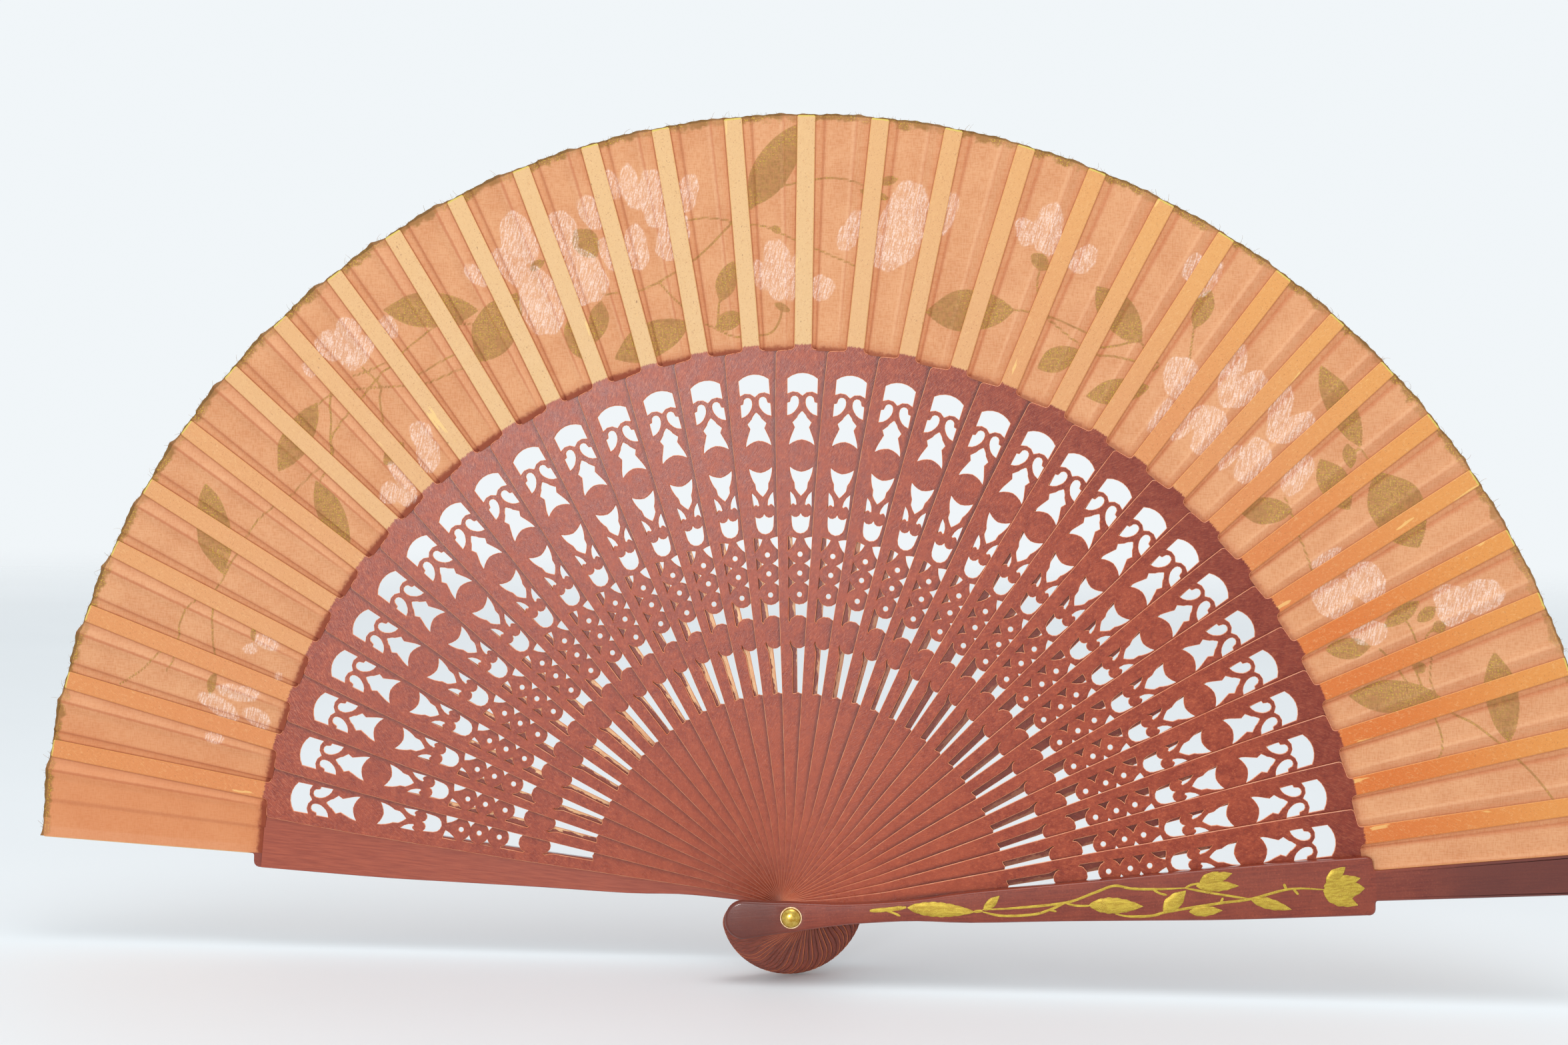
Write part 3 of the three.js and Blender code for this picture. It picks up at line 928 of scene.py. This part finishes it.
def add_guards():
    vertices, faces, _ = guard_shape()
    material = guard_wood()
    for k, name, front in ((0, "rear_guard", -1), (LAST, "front_guard", 1)):
        turned = vertices * [1, 1, front]
        ways = faces if front > 0 else [face[::-1] for face in faces]
        placed = stand_up(turn_to(turned, REST_ANGLES[k], front * STACK_HALF))
        grain = vertices + [60.0 * k, 0, 0]
        piece = add_piece(f"{name}_wood", placed, ways, material, {"grain": grain})
        stand_for(piece, name, name)


ROUND_SIDES = 48
RIVET_CLEARANCE = 0.06  # between a washer and the rivet's head on it


def rounded_end(radius, base, top):
    """A domed end's profile, from its widest place at base almost to its top."""
    turns = [math.pi / 2 * i / 12 for i in range(12)]
    return [(radius * math.cos(t), base + (top - base) * math.sin(t)) for t in turns]


def add_rivet():
    base = -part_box("front_washer")[0].y / MM + RIVET_CLEARANCE
    rear_box, front_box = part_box("rivet")[1].y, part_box("rivet")[0].y
    dome = rounded_end(DOME_RADIUS, base, -front_box / MM)
    peen = rounded_end(PEEN_RADIUS, -base, -rear_box / MM)
    profile = [*reversed(peen), (PIN_RADIUS, -base), (PIN_RADIUS, base), *dome]
    vertices, faces = lathe(profile, ROUND_SIDES)
    metal = brass("rivet_brass", (182, 142, 54), (218, 190, 100), 0.24)
    piece = add_piece("rivet_metal", stand_up(vertices), faces, metal)
    stand_for(piece, "rivet", "rear_guard")


WASHER_BEVEL = 0.08


def add_washers():
    metal = brass("washer_metal", (196, 160, 116), (226, 200, 160), 0.42)
    inner = WASHER_RADIUS - WASHER_BEVEL
    for name in ("front_washer", "rear_washer"):
        low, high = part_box(name)
        back, front = -high.y / MM, -low.y / MM
        profile = [(PIN_HOLE_RADIUS, back), (inner, back), (WASHER_RADIUS, back + WASHER_BEVEL),
                   (WASHER_RADIUS, front - WASHER_BEVEL), (inner, front), (PIN_HOLE_RADIUS, front)]
        vertices, faces = lathe(profile, ROUND_SIDES, closed=True)
        piece = add_piece(f"{name}_metal", stand_up(vertices), faces, metal)
        stand_for(piece, name, "rear_guard")


# --- The gold vine on the front guard: (along the guard, up across it), in mm ---
VINE_STEMS = [  # points, and the width
    ([(20.8, 0.7), (25.5, 0.8), (30.4, 1.1)], 1.3),
    ([(24.5, 0.8), (27, -0.2), (28.7, -1.1)], 0.7),
    ([(48.0, -1.0), (50.3, -0.9)], 0.9),
    ([(50.3, -0.6), (60, -0.6), (72.2, 0.1), (79.7, 2.3), (84.9, 3.8), (89.4, 2.8),
      (96, 2.3), (103.1, 2.2)], 0.8),
    ([(50.3, -1.2), (55.5, -2.5), (63.6, -2.55), (68.2, -1.4), (72.2, 0.1)], 0.8),
    ([(67.5, -1.6), (69.5, -2.1)], 0.6),
    ([(72.2, -0.2), (75, -0.9), (78.6, -1.1)], 0.7),
    ([(84.7, -3.6), (88.1, -4.4), (93.9, -4.6), (97.3, -3.9), (101.9, -3.3), (112.3, -2.2),
      (119.8, -1.6), (130.2, 0.45), (139.4, -0.2)], 0.8),
    ([(94.7, 2.4), (96.5, 1.2), (98.4, 0.6)], 0.7),
    ([(103.1, 2.2), (105, 3.0), (107.5, 3.2)], 0.7),
    ([(103.1, 2.2), (110, 0.5), (119.8, -1.6)], 0.7),
    ([(112.0, -2.2), (112.8, -0.9)], 0.7),
    ([(129.2, 0.4), (128.6, 1.9)], 0.8),
    ([(131.0, 0.4), (132.2, -1.1)], 0.8),
]
VINE_LEAVES = [  # from tip to tip, and the width
    ((30.7, 1.0), (48.5, -1.1), 4.3),
    ((50.6, -0.7), (54.9, 2.8), 2.6),
    ((78.0, -0.9), (92.0, -2.0), 4.6),
    ((97.2, -3.8), (103.3, 1.5), 4.4),
    ((103.8, -4.0), (112.4, -4.2), 3.0),
    ((119.8, -1.6), (130.2, -4.9), 3.1),
    ((106.0, 2.6), (117.0, 2.0), 3.2),  # the heart-shaped flower: two lobes and a point
    ((107.0, 3.2), (115.5, 5.4), 3.4),
    ((107.0, 3.4), (112.0, 6.0), 2.4),
    ((138.6, -0.6), (149.3, -0.4), 6.2),  # the tulip: three tips and an upper petal
    ((138.8, -1.2), (147.3, -4.7), 4.0),
    ((138.8, 0.6), (148.3, 2.3), 4.0),
    ((139.6, 1.4), (144.6, 5.4), 3.6),
]
VINE_THICKNESS = 0.07
VINE_SUNK = 0.12  # how deep the edges of the paint reach into the wood
VINE_STEP = 0.003  # each stroke lies this much higher than the one painted before
# Across a strip of paint: shares of its half width, and heights above the wood.
STRIP_OFFSETS = np.array([-1, -0.8, -0.3, 0.3, 0.8, 1])
STRIP_LIFTS = np.array([-VINE_SUNK, VINE_THICKNESS * 0.8, VINE_THICKNESS,
                        VINE_THICKNESS, VINE_THICKNESS * 0.8, -VINE_SUNK])


def vine_strip(line, widths, level):
    """A thin strip of paint along a line on the guard, with its edges sunk into the wood."""
    way = np.gradient(line, axis=0)
    way /= np.linalg.norm(way, axis=1)[:, None]
    side = np.stack([-way[:, 1], way[:, 0]], axis=1)
    reach = STRIP_OFFSETS[None, :, None] * widths[:, None, None]
    flat = line[:, None, :] + side[:, None, :] * reach
    along, across = flat[..., 0].ravel(), -flat[..., 1].ravel()
    height = guard_surface(across, along) + (np.tile(STRIP_LIFTS, len(line)) + level)
    faces = [face[::-1] for face in tube(len(line), len(STRIP_OFFSETS))]
    return np.stack([across, along, height], axis=1), faces


def vine_strokes():
    """The middle line of each stem and leaf, and half its width along it."""
    strokes = []
    for points, width in VINE_STEMS:
        line = smooth_line(points, 8)
        t = np.linspace(0, 1, len(line))
        taper = 0.45 + 0.55 * np.minimum(1, 6 * np.minimum(t, 1 - t))
        strokes.append((line, width / 2 * taper))
    for start, end, width in VINE_LEAVES:
        t = np.linspace(0, 1, 24)[:, None]
        line = np.array(start) * (1 - t) + np.array(end) * t
        swell = np.sin(math.pi * t[:, 0] ** 0.8) ** 0.8
        strokes.append((line, np.maximum(width / 2 * swell, 0.06)))
    return strokes


def add_vine():
    vertices, faces = [], []
    for number, (line, widths) in enumerate(vine_strokes()):
        ripple = 1 + 0.06 * np.sin(2.7 * line[:, 0] + number)
        points, ways = vine_strip(line, widths * ripple, VINE_STEP * number)
        faces += [tuple(i + len(vertices) for i in face) for face in ways]
        vertices += points.tolist()
    vertices = np.array(vertices)
    placed = stand_up(turn_to(vertices, REST_ANGLES[LAST], STACK_HALF))
    piece = add_piece("gold_vine", placed, faces, gold_paint(), {"grain": vertices})
    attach(piece, "front_guard")


# --- The leaf ---
COLUMNS_PER_INTERVAL = 30
LEAF_START = -8 / COLUMNS_PER_INTERVAL  # where the cloth ends, from the rear guard's middle
LEAF_END = LAST + 6 / COLUMNS_PER_INTERVAL
VALLEY = 7 / COLUMNS_PER_INTERVAL  # places of the two folds in an interval
RIDGE = 21 / COLUMNS_PER_INTERVAL
ROWS = 100
LEAF_HEIGHT = LEAF_RADIUS - LEAF_INNER_RADIUS
LEAF_TUCK = 0.8  # how far the cloth goes on below its inner edge, behind the blades' tops
LEAF_THICKNESS = 0.12
RIM_PAST_RIBS = 0.3  # the cloth is cut a little longer than the ribs
THREAD_ROOT = 0.3  # how far within the rim its loose threads start
CLOTH_BEHIND_RIB = 0.08  # from a rib's back to the middle of the cloth
CLOTH_OFF_GUARD = 0.1, 0.15  # from the rear and the front guard's recessed faces to it


def along_spread(place, values):
    """values at the sticks, read at places between them and a little beyond the ends."""
    numbers = np.arange(-1, LAST + 2)
    ends = [2 * values[0] - values[1], *values, 2 * values[-1] - values[-2]]
    return np.interp(place, numbers, ends)


def leaf_level(place, height):
    """Level of the pleated cloth's middle, with its ridges and valleys."""
    behind_stick = STICK_THICKNESS / 2 - RIB_THICKNESS - CLOTH_BEHIND_RIB
    rear, front = (STACK_HALF + LEAF_RECESS - gap for gap in CLOTH_OFF_GUARD)
    levels = [STICK_LEVELS[k] + behind_stick for k in range(1, LAST)]
    levels = np.array([-rear, *levels, front])
    before = np.floor(place - RIDGE + 1)
    share = np.clip((place - before - VALLEY) / (RIDGE - VALLEY), 0, 1)
    share = np.interp(share, [0, 0.07, 1], [0, 0.62, 1])  # steps up in front of the rib's edge
    low = levels[np.clip(before, 0, LAST).astype(int)]
    high = levels[np.clip(before + 1, 0, LAST).astype(int)]
    inside = place - np.floor(place)
    grown = height / LEAF_HEIGHT
    ridge = np.interp(inside, [0.57, RIDGE, 0.8], [0, 1, 0])
    valley = np.interp(inside, [0.18, VALLEY, VALLEY + 0.033], [0, 1, 0])
    between = (place > 0.4) & (place < LAST)
    ridge *= np.interp(place, [10, 16], [1, 0.6])
    relief = ridge * (0.45 + 0.55 * grown) - valley * (0.25 + 0.1 * grown)
    waves = 0.12 * np.sin(place * 9.1 + height * 0.11) * np.sin(height * 0.07 + place * 2.3)
    open_cloth = np.interp(inside, [0.25, 0.4, 0.55, 0.65, 0.83], [0, 0.3, 0.3, 1, 0])
    return low + (high - low) * share + between * (relief + waves * open_cloth)


def leaf_points(place, height):
    """Plane points of the leaf: place in intervals, height in mm above its inner edge."""
    angle = np.radians(along_spread(place, REST_ANGLES))
    radius = LEAF_INNER_RADIUS + height
    return np.stack([radius * np.cos(angle), radius * np.sin(angle)], axis=-1)


def rim_height(place):
    """The leaf's outer edge: it rises a little at each ridge, and is cut unevenly."""
    inside = place - np.floor(place)
    rise = np.interp(inside, [0.15, RIDGE, 0.84], [0, 1, 0])
    uneven = 0.1 * np.sin(place * 17.0) + 0.08 * np.sin(place * 41.0 + 1)
    most = np.interp(place, [10, 14], [0.6, 0.2])
    return LEAF_HEIGHT + RIM_PAST_RIBS + most * rise + uneven


# Painted flowers: each petal's middle, length, width and clockwise lean from the direction of
# the ribs. Places are in intervals from the rear guard, heights in mm above the leaf's inner
# edge.
FLOWERS = [
    [(1.75, 17.5, 5.5, 3, 0), (2.32, 18.5, 13, 5, 15), (2.67, 14.5, 12, 4.5, -10),
     (2.34, 7.5, 8.5, 5, 10)],
    [(3.51, 15.5, 4.5, 3, -40), (3.73, 12, 7.5, 3.5, 0), (3.24, 5.5, 2.5, 2.5, 0)],
    [(8.33, 47.5, 8.5, 7.5, 0), (8.69, 47.5, 7, 6, 0), (8.57, 41.5, 7.5, 10.5, 0),
     (9.21, 41.5, 6.5, 4.5, 0), (7.84, 46.5, 4.5, 2.5, 0)],
    [(7.39, 7, 5.5, 6, -20), (7.49, 4, 6, 3, 0), (7.73, 6.5, 12.5, 3.5, 10), (8.56, 13, 7, 6, 20),
     (8.42, 7.5, 9.5, 6.5, 35)],
    [(10.79, 40.5, 8, 4, -25), (11.32, 38.5, 12.5, 6.5, -20), (11.6, 44.5, 14.5, 9, 0),
     (11.53, 26.5, 18.5, 11, 5), (12.23, 41.5, 12, 9, 15), (12.35, 28.5, 15, 11.5, -5)],
    [(12.75, 44.5, 9.5, 5.5, -10), (13.18, 50, 8, 3.5, -8), (13.43, 48, 12, 5, -2),
     (13.71, 45.5, 12.5, 6.5, 12), (14.22, 43.5, 10, 6, 25), (13.73, 39, 6.5, 6, 60),
     (13.91, 32.5, 8.5, 13, -65), (13.29, 32, 12, 6.5, 8), (12.84, 32.5, 9, 4, -5)],
    [(15.55, 21, 16, 7, -3), (15.25, 19.5, 8, 4, -15), (15.83, 18.5, 12, 4, 10),
     (16.31, 16, 6.5, 6.5, 30)],
    [(16.77, 33, 8, 4.5, 15), (16.67, 29.5, 6.5, 5, 0), (17.5, 34, 24.5, 12.5, 14),
     (18.17, 40, 11, 4, 5)],
    [(19.66, 43, 13.5, 7.5, -12), (19.35, 40.5, 7.5, 5, -35), (20.3, 39, 8.5, 6, 25)],
    [(21.85, 50.5, 7.5, 5.5, 0), (22.12, 49.5, 11, 4.5, 5)],
    [(22.65, 24.5, 11, 8.5, -25), (23.31, 33.5, 15, 5.5, -20), (23.65, 32, 13.5, 7, 18),
     (23.27, 16.5, 12.5, 4, 10), (23.65, 18, 13, 7, -12), (22.78, 13.5, 10, 3.5, 0),
     (24.33, 34, 14, 5.5, -30), (24.66, 33, 13, 6, 20), (24.6, 20, 12.5, 7.5, -15),
     (24.25, 16.5, 8, 3, 0), (25.29, 26, 11.5, 6.5, -20)],
    [(28.59, 48.5, 10.5, 8.5, 5), (28.51, 40.5, 9, 10.5, 10)],
    [(27.53, 24, 8.5, 11.5, 0), (27.48, 14.5, 10.5, 9.5, 0), (28.32, 18, 9.5, 6.5, 30),
     (26.77, 18.5, 8.5, 2.5, 0)],
]

# Painted leaves: from tip to tip, and the width.
PAINTED_LEAVES = [
    ((2.46, 22), (2.88, 22.5), 2.5), ((3.65, 15.5), (3.89, 17.5), 1.5),
    ((4.44, 31.5), (5.51, 48.5), 9.5), ((6.65, 24.5), (5.99, 5), 7.5),
    ((6.35, 34), (7.59, 38.5), 8), ((9.29, 46), (10.56, 32), 9.5),
    ((10.11, 20), (11.24, 31.5), 12), ((7.68, 13.5), (8.22, 14.5), 4.5),
    ((11.91, 20), (11.83, 8), 6), ((12.51, 21), (12.16, 11), 5.5),
    ((11.57, 35.5), (11.85, 36.5), 2.5), ((12.45, 41.5), (12.66, 32.5), 7),
    ((12.4, 5), (13.92, 9.5), 9.5), ((14.52, 13.5), (14.83, 24), 5.5),
    ((14.38, 7), (14.91, 9.5), 5), ((15.11, 37.5), (15.96, 60), 10),
    ((15.47, 32.5), (15.63, 30.5), 2), ((15.47, 12), (15.77, 9.5), 2),
    ((16.79, 42.5), (17.27, 41), 2.5), ((17.08, 45), (17.35, 46.5), 2.5),
    ((18.15, 13), (19.6, 20), 11), ((19.55, 35.5), (19.88, 33), 4),
    ((20.34, 8), (20.87, 17), 6.5), ((20.65, 34), (21.76, 26.5), 9),
    ((21.37, 7), (22.31, 18), 6.5), ((22.25, 48), (22.37, 37), 5),
    ((24.27, 50), (25.64, 43), 7.5), ((25.14, 8.5), (25.73, 19), 7),
    ((25.35, 33), (26.33, 30.5), 8), ((25.45, 41), (25.8, 37.5), 3.5),
    ((26.08, 42), (27.47, 40), 14), ((28.23, 33.5), (28.36, 22), 4),
    ((28.43, 36.5), (28.52, 30.5), 3.5), ((28.73, 37), (28.77, 33), 3.5),
    ((28.57, 17), (28.27, 6), 5.5), ((29.26, 6.5), (29.88, 29), 8.5),
    ((29.44, 45.5), (30.87, 42), 8.5), ((29.25, 28), (29.26, 24.5), 3),
]

# Painted stems: the points of each.
PAINTED_STEMS = [
    [(2.17, 47), (2.5, 42), (2.85, 39), (3.12, 35.5), (3.4, 36.5), (3.63, 36.5), (3.85, 35),
     (4.13, 31.7), (4.45, 30.8), (5.33, 31), (5.8, 29.5), (6.2, 27.2), (6.56, 26.6),
     (7.14, 25.7), (7.36, 29), (7.84, 30.5), (8.13, 31), (8.64, 32.5), (8.86, 32.6)],
    [(2.61, 35.3), (2.85, 34.7), (3.12, 35.2)],
    [(3.1, 24), (3.43, 26.7), (3.85, 29.7), (4.13, 31.7)],
    [(6.69, 23.5), (6.85, 24), (7.14, 26), (7.32, 29), (7.55, 32.3), (7.73, 35.8), (7.86, 38)],
    [(7.52, 38.3), (7.85, 37.2), (8.13, 34.6), (8.34, 32.1), (8.86, 26), (9.14, 23.2),
     (9.52, 21.7), (10.11, 20.2)],
    [(8.3, 37), (8.52, 35.6), (8.86, 34), (9.14, 33.6), (9.85, 34.3), (10.11, 32), (10.37, 29.6)],
    [(8.49, 37.2), (8.54, 30.4), (8.39, 27.6), (8.17, 22.2)],
    [(9.13, 26.2), (9.43, 25.7), (9.85, 25.2)],
    [(12.57, 22.4), (12.83, 21.5), (13.17, 20.8), (13.52, 21.6), (14.14, 25.4), (14.45, 28.5),
     (14.87, 34.3)],
    [(13.54, 21.4), (13.69, 17.4), (13.87, 13.5)],
    [(14.14, 36.6), (14.54, 36), (15.12, 33.3), (15.38, 32.4), (15.87, 28.5), (16.83, 22.5)],
    [(15.15, 37.3), (15.38, 40.5), (15.64, 42.9), (16.23, 45), (16.52, 45.2), (16.85, 44)],
    [(14.5, 13.4), (14.43, 8)],
    [(14.18, 8.4), (14.37, 6.7), (14.62, 4.3), (14.87, 3.5), (15.17, 3.5), (15.42, 4.3),
     (15.57, 7.5), (15.62, 11)],
    [(19.74, 32.8), (19.79, 28.9), (19.87, 26)],
    [(19.53, 19.8), (19.87, 21), (20.16, 21.7), (20.85, 21.9)],
    [(20.16, 21), (20.39, 20), (20.7, 18.7), (21.16, 18), (21.44, 19.7), (21.85, 21.6)],
    [(21.16, 20), (21.4, 22.5), (21.71, 26.5), (21.89, 25.3), (22.2, 24.2), (22.2, 22)],
    [(22.36, 37.3), (22.47, 33.7), (22.61, 29.6)],
    [(25.63, 41), (25.64, 42.4), (25.87, 42.3)],
    [(25.45, 19.7), (25.85, 17.8), (26.16, 16.2), (26.48, 15), (26.84, 13.5)],
    [(28.35, 27.5), (28.57, 28.3), (28.85, 28)],
    [(28.73, 33.5), (28.84, 30.7), (29.14, 30.3), (29.4, 28.2), (29.71, 27.4), (30.15, 30),
     (30.42, 34.4), (30.85, 39.6), (31.14, 43), (31.48, 46.6), (31.86, 50)],
    [(29.14, 24.8), (29.45, 25), (30.15, 25.6), (30.47, 25.7), (30.74, 24.7), (30.85, 23.2)],
    [(28.68, 18.7), (28.84, 19.7), (29.14, 21), (29.4, 21.7)],
]
STEM_WIDTH = 0.75


def measured(points, start, end):
    """Along and across coordinates of points, from -1 to 1 between start and end."""
    middle, half = (start + end) / 2, (end - start) / 2
    length = np.hypot(*half)
    way = half / length
    rest = points - middle
    return rest @ way / length, rest @ np.array([-way[1], way[0]]), length


def near(points, middle, reach):
    return np.flatnonzero(np.abs(points - middle).max(axis=1) < reach)


def paint_leaves(points):
    """How much olive paint lies on each point, from 0 to 1."""
    cover = np.zeros(len(points))
    for start, end, width in PAINTED_LEAVES:
        start, end = leaf_points(*map(np.array, start)), leaf_points(*map(np.array, end))
        found = near(points, (start + end) / 2, np.hypot(*(end - start)) / 2 + width)
        t, s, length = measured(points[found], start, end)
        bent = np.sin(3 * t + 5 * s / width) * 0.06
        swell = np.clip(1 - np.abs(t) ** 2.3, 0, 1) * (1 + bent)
        edge = np.abs(s) - width / 2 * swell + np.clip(np.abs(t) - 1, 0, None) * length
        cover[found] = np.maximum(cover[found], np.clip(0.5 - edge / 0.8, 0, 1))
    for stem in PAINTED_STEMS:
        line = smooth_line([leaf_points(*map(np.array, p)) for p in stem], 6)
        for start, end in zip(line, line[1:]):
            found = near(points, (start + end) / 2, np.hypot(*(end - start)) / 2 + 2)
            t, s, length = measured(points[found], start, end)
            away = np.hypot(s, np.clip(np.abs(t) - 1, 0, None) * length)
            stroke = 0.8 * np.clip(0.5 - (away - STEM_WIDTH / 2) / 0.6, 0, 1)
            cover[found] = np.maximum(cover[found], stroke)
    return cover


def paint_flowers(points):
    """How much white paint lies on each point. A later petal leaves a faint line round it."""
    cover = np.zeros(len(points))
    for place, height, length, width, lean in sum(FLOWERS, []):
        middle = leaf_points(np.array(place), np.array(height))
        turn = math.radians(along_spread(place, REST_ANGLES) - lean)
        way = np.array([math.cos(turn), math.sin(turn)]) * length / 2
        found = near(points, middle, length)
        t, s, _ = measured(points[found], middle - way, middle + way)
        reach = (np.abs(t) ** 2.4 + np.abs(s / (width / 2)) ** 2.4) ** (1 / 2.4)
        round_it = np.arctan2(s / (width / 2), t)
        reach *= 1 + 0.05 * np.sin(3 * round_it + 7 * place) + 0.03 * np.sin(7 * round_it)
        edge = (reach - 1) * width / 2
        line = 0.7 + 0.3 * np.clip(np.abs(edge) / 0.6, 0, 1)
        inside = np.clip(0.5 - edge / 0.8, 0, 1)
        strength = 0.66 + 0.34 * np.clip(1 + edge / 2.0, 0, 1)
        strength *= np.interp(place, [2, 6], [0.75, 1])
        cover[found] = np.maximum(cover[found] * line, inside * strength)
    return cover


def fold_weights(piece):
    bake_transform(piece)


def cloth_faces(rows, columns):
    """Faces of two layers of cloth, of rows by columns of points, joined along their edges."""
    count = rows * columns
    numbers = np.arange(count).reshape(rows, columns)
    a, b = numbers[:-1, :-1].ravel(), numbers[:-1, 1:].ravel()
    c, d = numbers[1:, 1:].ravel(), numbers[1:, :-1].ravel()
    # Places run clockwise, so this order faces the front.
    faces = [*zip(a, d, c, b), *zip(a + count, b + count, c + count, d + count)]
    rim = np.concatenate([numbers[0], numbers[1:, -1], numbers[-1, -2::-1], numbers[-2:0:-1, 0]])
    following = np.roll(rim, -1)
    faces += [*zip(rim, following, following + count, rim + count)]
    return [tuple(int(i) for i in face) for face in faces]


def add_leaf():
    columns = round((LEAF_END - LEAF_START) * COLUMNS_PER_INTERVAL) + 1
    place = np.linspace(LEAF_START, LEAF_END, columns)  # a column lies on each fold
    rows = np.linspace(0, 1, ROWS + 1)
    places = np.tile(place, ROWS + 1)
    heights = (rows[:, None] * rim_height(place)).ravel()
    heights -= np.repeat(1 - rows, columns) * LEAF_TUCK
    plane = leaf_points(places, heights)
    level = leaf_level(places, heights)
    grid = np.concatenate([plane, level[:, None]], axis=1)
    half = [0, 0, LEAF_THICKNESS / 2]
    vertices = np.concatenate([grid + half, grid - half])

    turn = along_spread(places, REST_ANGLES) - along_spread(np.round(places), REST_ANGLES)
    from_rib = np.radians(np.abs(turn)) * (LEAF_INNER_RADIUS + heights)
    marks = {
        "white_paint": paint_flowers(plane), "olive_paint": paint_leaves(plane),
        "cloth": np.concatenate([plane, np.zeros((len(plane), 1))], axis=1),
        "leaf_place": np.stack([places, heights, from_rib], axis=1),
    }
    marks = {key: np.concatenate([values, values]) for key, values in marks.items()}
    faces = cloth_faces(ROWS + 1, columns)
    piece = add_piece("leaf_cloth", stand_up(vertices), faces, leaf_cloth(), marks, 50)
    fold_weights(piece)
    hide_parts("leaf")
    return piece


def add_frayed_edge():
    """Loose thread ends along the leaf's outer edge."""
    count, rings, sides = 900, 4, 3
    place = np.sort(RANDOM.uniform(LEAF_START, LEAF_END, count))
    long_ones = RANDOM.random(count) < 0.12
    length = np.where(long_ones, RANDOM.uniform(1.2, 2.6, count), RANDOM.uniform(0.3, 1.1, count))
    lean = RANDOM.normal(0, 0.6, count)
    curl = RANDOM.normal(0, 0.5, count)
    radius = RANDOM.uniform(0.035, 0.06, count)
    height = rim_height(place) - THREAD_ROOT
    root = leaf_points(place, height)
    level = leaf_level(place, height)
    angle = np.radians(along_spread(place, REST_ANGLES)) + lean
    vertices, faces = [], []
    for t in np.linspace(0, 1, rings):
        bend = angle + curl * t
        centre = root + np.stack([np.cos(bend), np.sin(bend)], axis=1) * (length * t)[:, None]
        thick = radius * (1 - 0.5 * t)
        for side in range(sides):
            turn = 2 * math.pi * side / sides
            aside = np.stack([-np.sin(bend), np.cos(bend)], axis=1)
            spot = centre + aside * (thick * math.cos(turn))[:, None]
            rise = level + thick * math.sin(turn) + 0.25 * t * np.sin(curl * 9)
            vertices.append(np.concatenate([spot, rise[:, None]], axis=1))
    vertices = np.stack(vertices, axis=1).reshape(-1, 3)
    per_thread = rings * sides
    for start in range(0, count * per_thread, per_thread):
        faces += tube(rings, sides, start)
    piece = add_piece("leaf_frayed_edge", stand_up(vertices), faces, thread())
    fold_weights(piece)
    return piece


# --- Stage, light and camera, in metres ---
FLOOR_RADIUS = 2.4
FLOOR_GAP = 0.0002  # the floor lies this far below the fan
LIT_PLACE = (0, 0, 0.1)  # the lamps look at the middle of the open fan
BACKGROUND_STRENGTH = 0.98


def add_floor():
    sides = 96
    low = CAD_BOX[0].z - FLOOR_GAP
    ring = [(x, y, low) for x, y in circle(0, 0, FLOOR_RADIUS, sides)]
    floor = add_piece("floor", ring, [tuple(range(sides))], floor_white())


def add_area_light(name, place, size, watts):
    light = bpy.data.lights.new(name, "AREA")
    light.shape = "DISK"
    light.size = size
    light.energy = watts
    lamp = bpy.data.objects.new(name, light)
    lamp.location = place
    ahead = Vector(LIT_PLACE) - Vector(place)
    lamp.rotation_euler = ahead.to_track_quat("-Z", "Y").to_euler()
    bpy.context.scene.collection.objects.link(lamp)


def add_lights():
    world = bpy.data.worlds.new("studio")
    world.use_nodes = True
    background = world.node_tree.nodes["Background"]
    background.inputs["Color"].default_value = srgb(243, 248, 251)
    background.inputs["Strength"].default_value = BACKGROUND_STRENGTH
    bpy.context.scene.world = world
    add_area_light("left_lamp", place=(-0.246, -1.2, 0.18), size=0.2, watts=4.5)
    add_area_light("top_softbox", place=(0.1, -0.35, 1.1), size=0.7, watts=3.5)
    bpy.context.scene.view_settings.view_transform = "Standard"


CAMERA_PLACE = (0.0404, -0.7074, 0.1313)
CAMERA_LENS = 60.8
CAMERA_YAW, CAMERA_PITCH, CAMERA_ROLL = -3.62, -2.26, 0.79  # degrees


def add_camera():
    yaw, pitch, roll = map(math.radians, (CAMERA_YAW, CAMERA_PITCH, CAMERA_ROLL))
    ahead = Vector((math.sin(yaw) * math.cos(pitch), math.cos(yaw) * math.cos(pitch),
                    math.sin(pitch)))
    level_right = ahead.cross(Vector((0, 0, 1))).normalized()
    level_up = level_right.cross(ahead)
    right = level_right * math.cos(roll) + level_up * math.sin(roll)
    up = level_up * math.cos(roll) - level_right * math.sin(roll)
    data = bpy.data.cameras.new("camera")
    data.sensor_width = 36
    data.lens = CAMERA_LENS
    camera = bpy.data.objects.new("camera", data)
    turn = Matrix((right, up, -ahead)).transposed().to_4x4()
    camera.matrix_world = Matrix.Translation(CAMERA_PLACE) @ turn
    bpy.context.scene.collection.objects.link(camera)
    bpy.context.scene.camera = camera


add_camera()
add_lights()
add_floor()
add_sticks()
add_guards()
add_rivet()
add_washers()
add_vine()
leaf = add_leaf()
frayed_edge = add_frayed_edge()
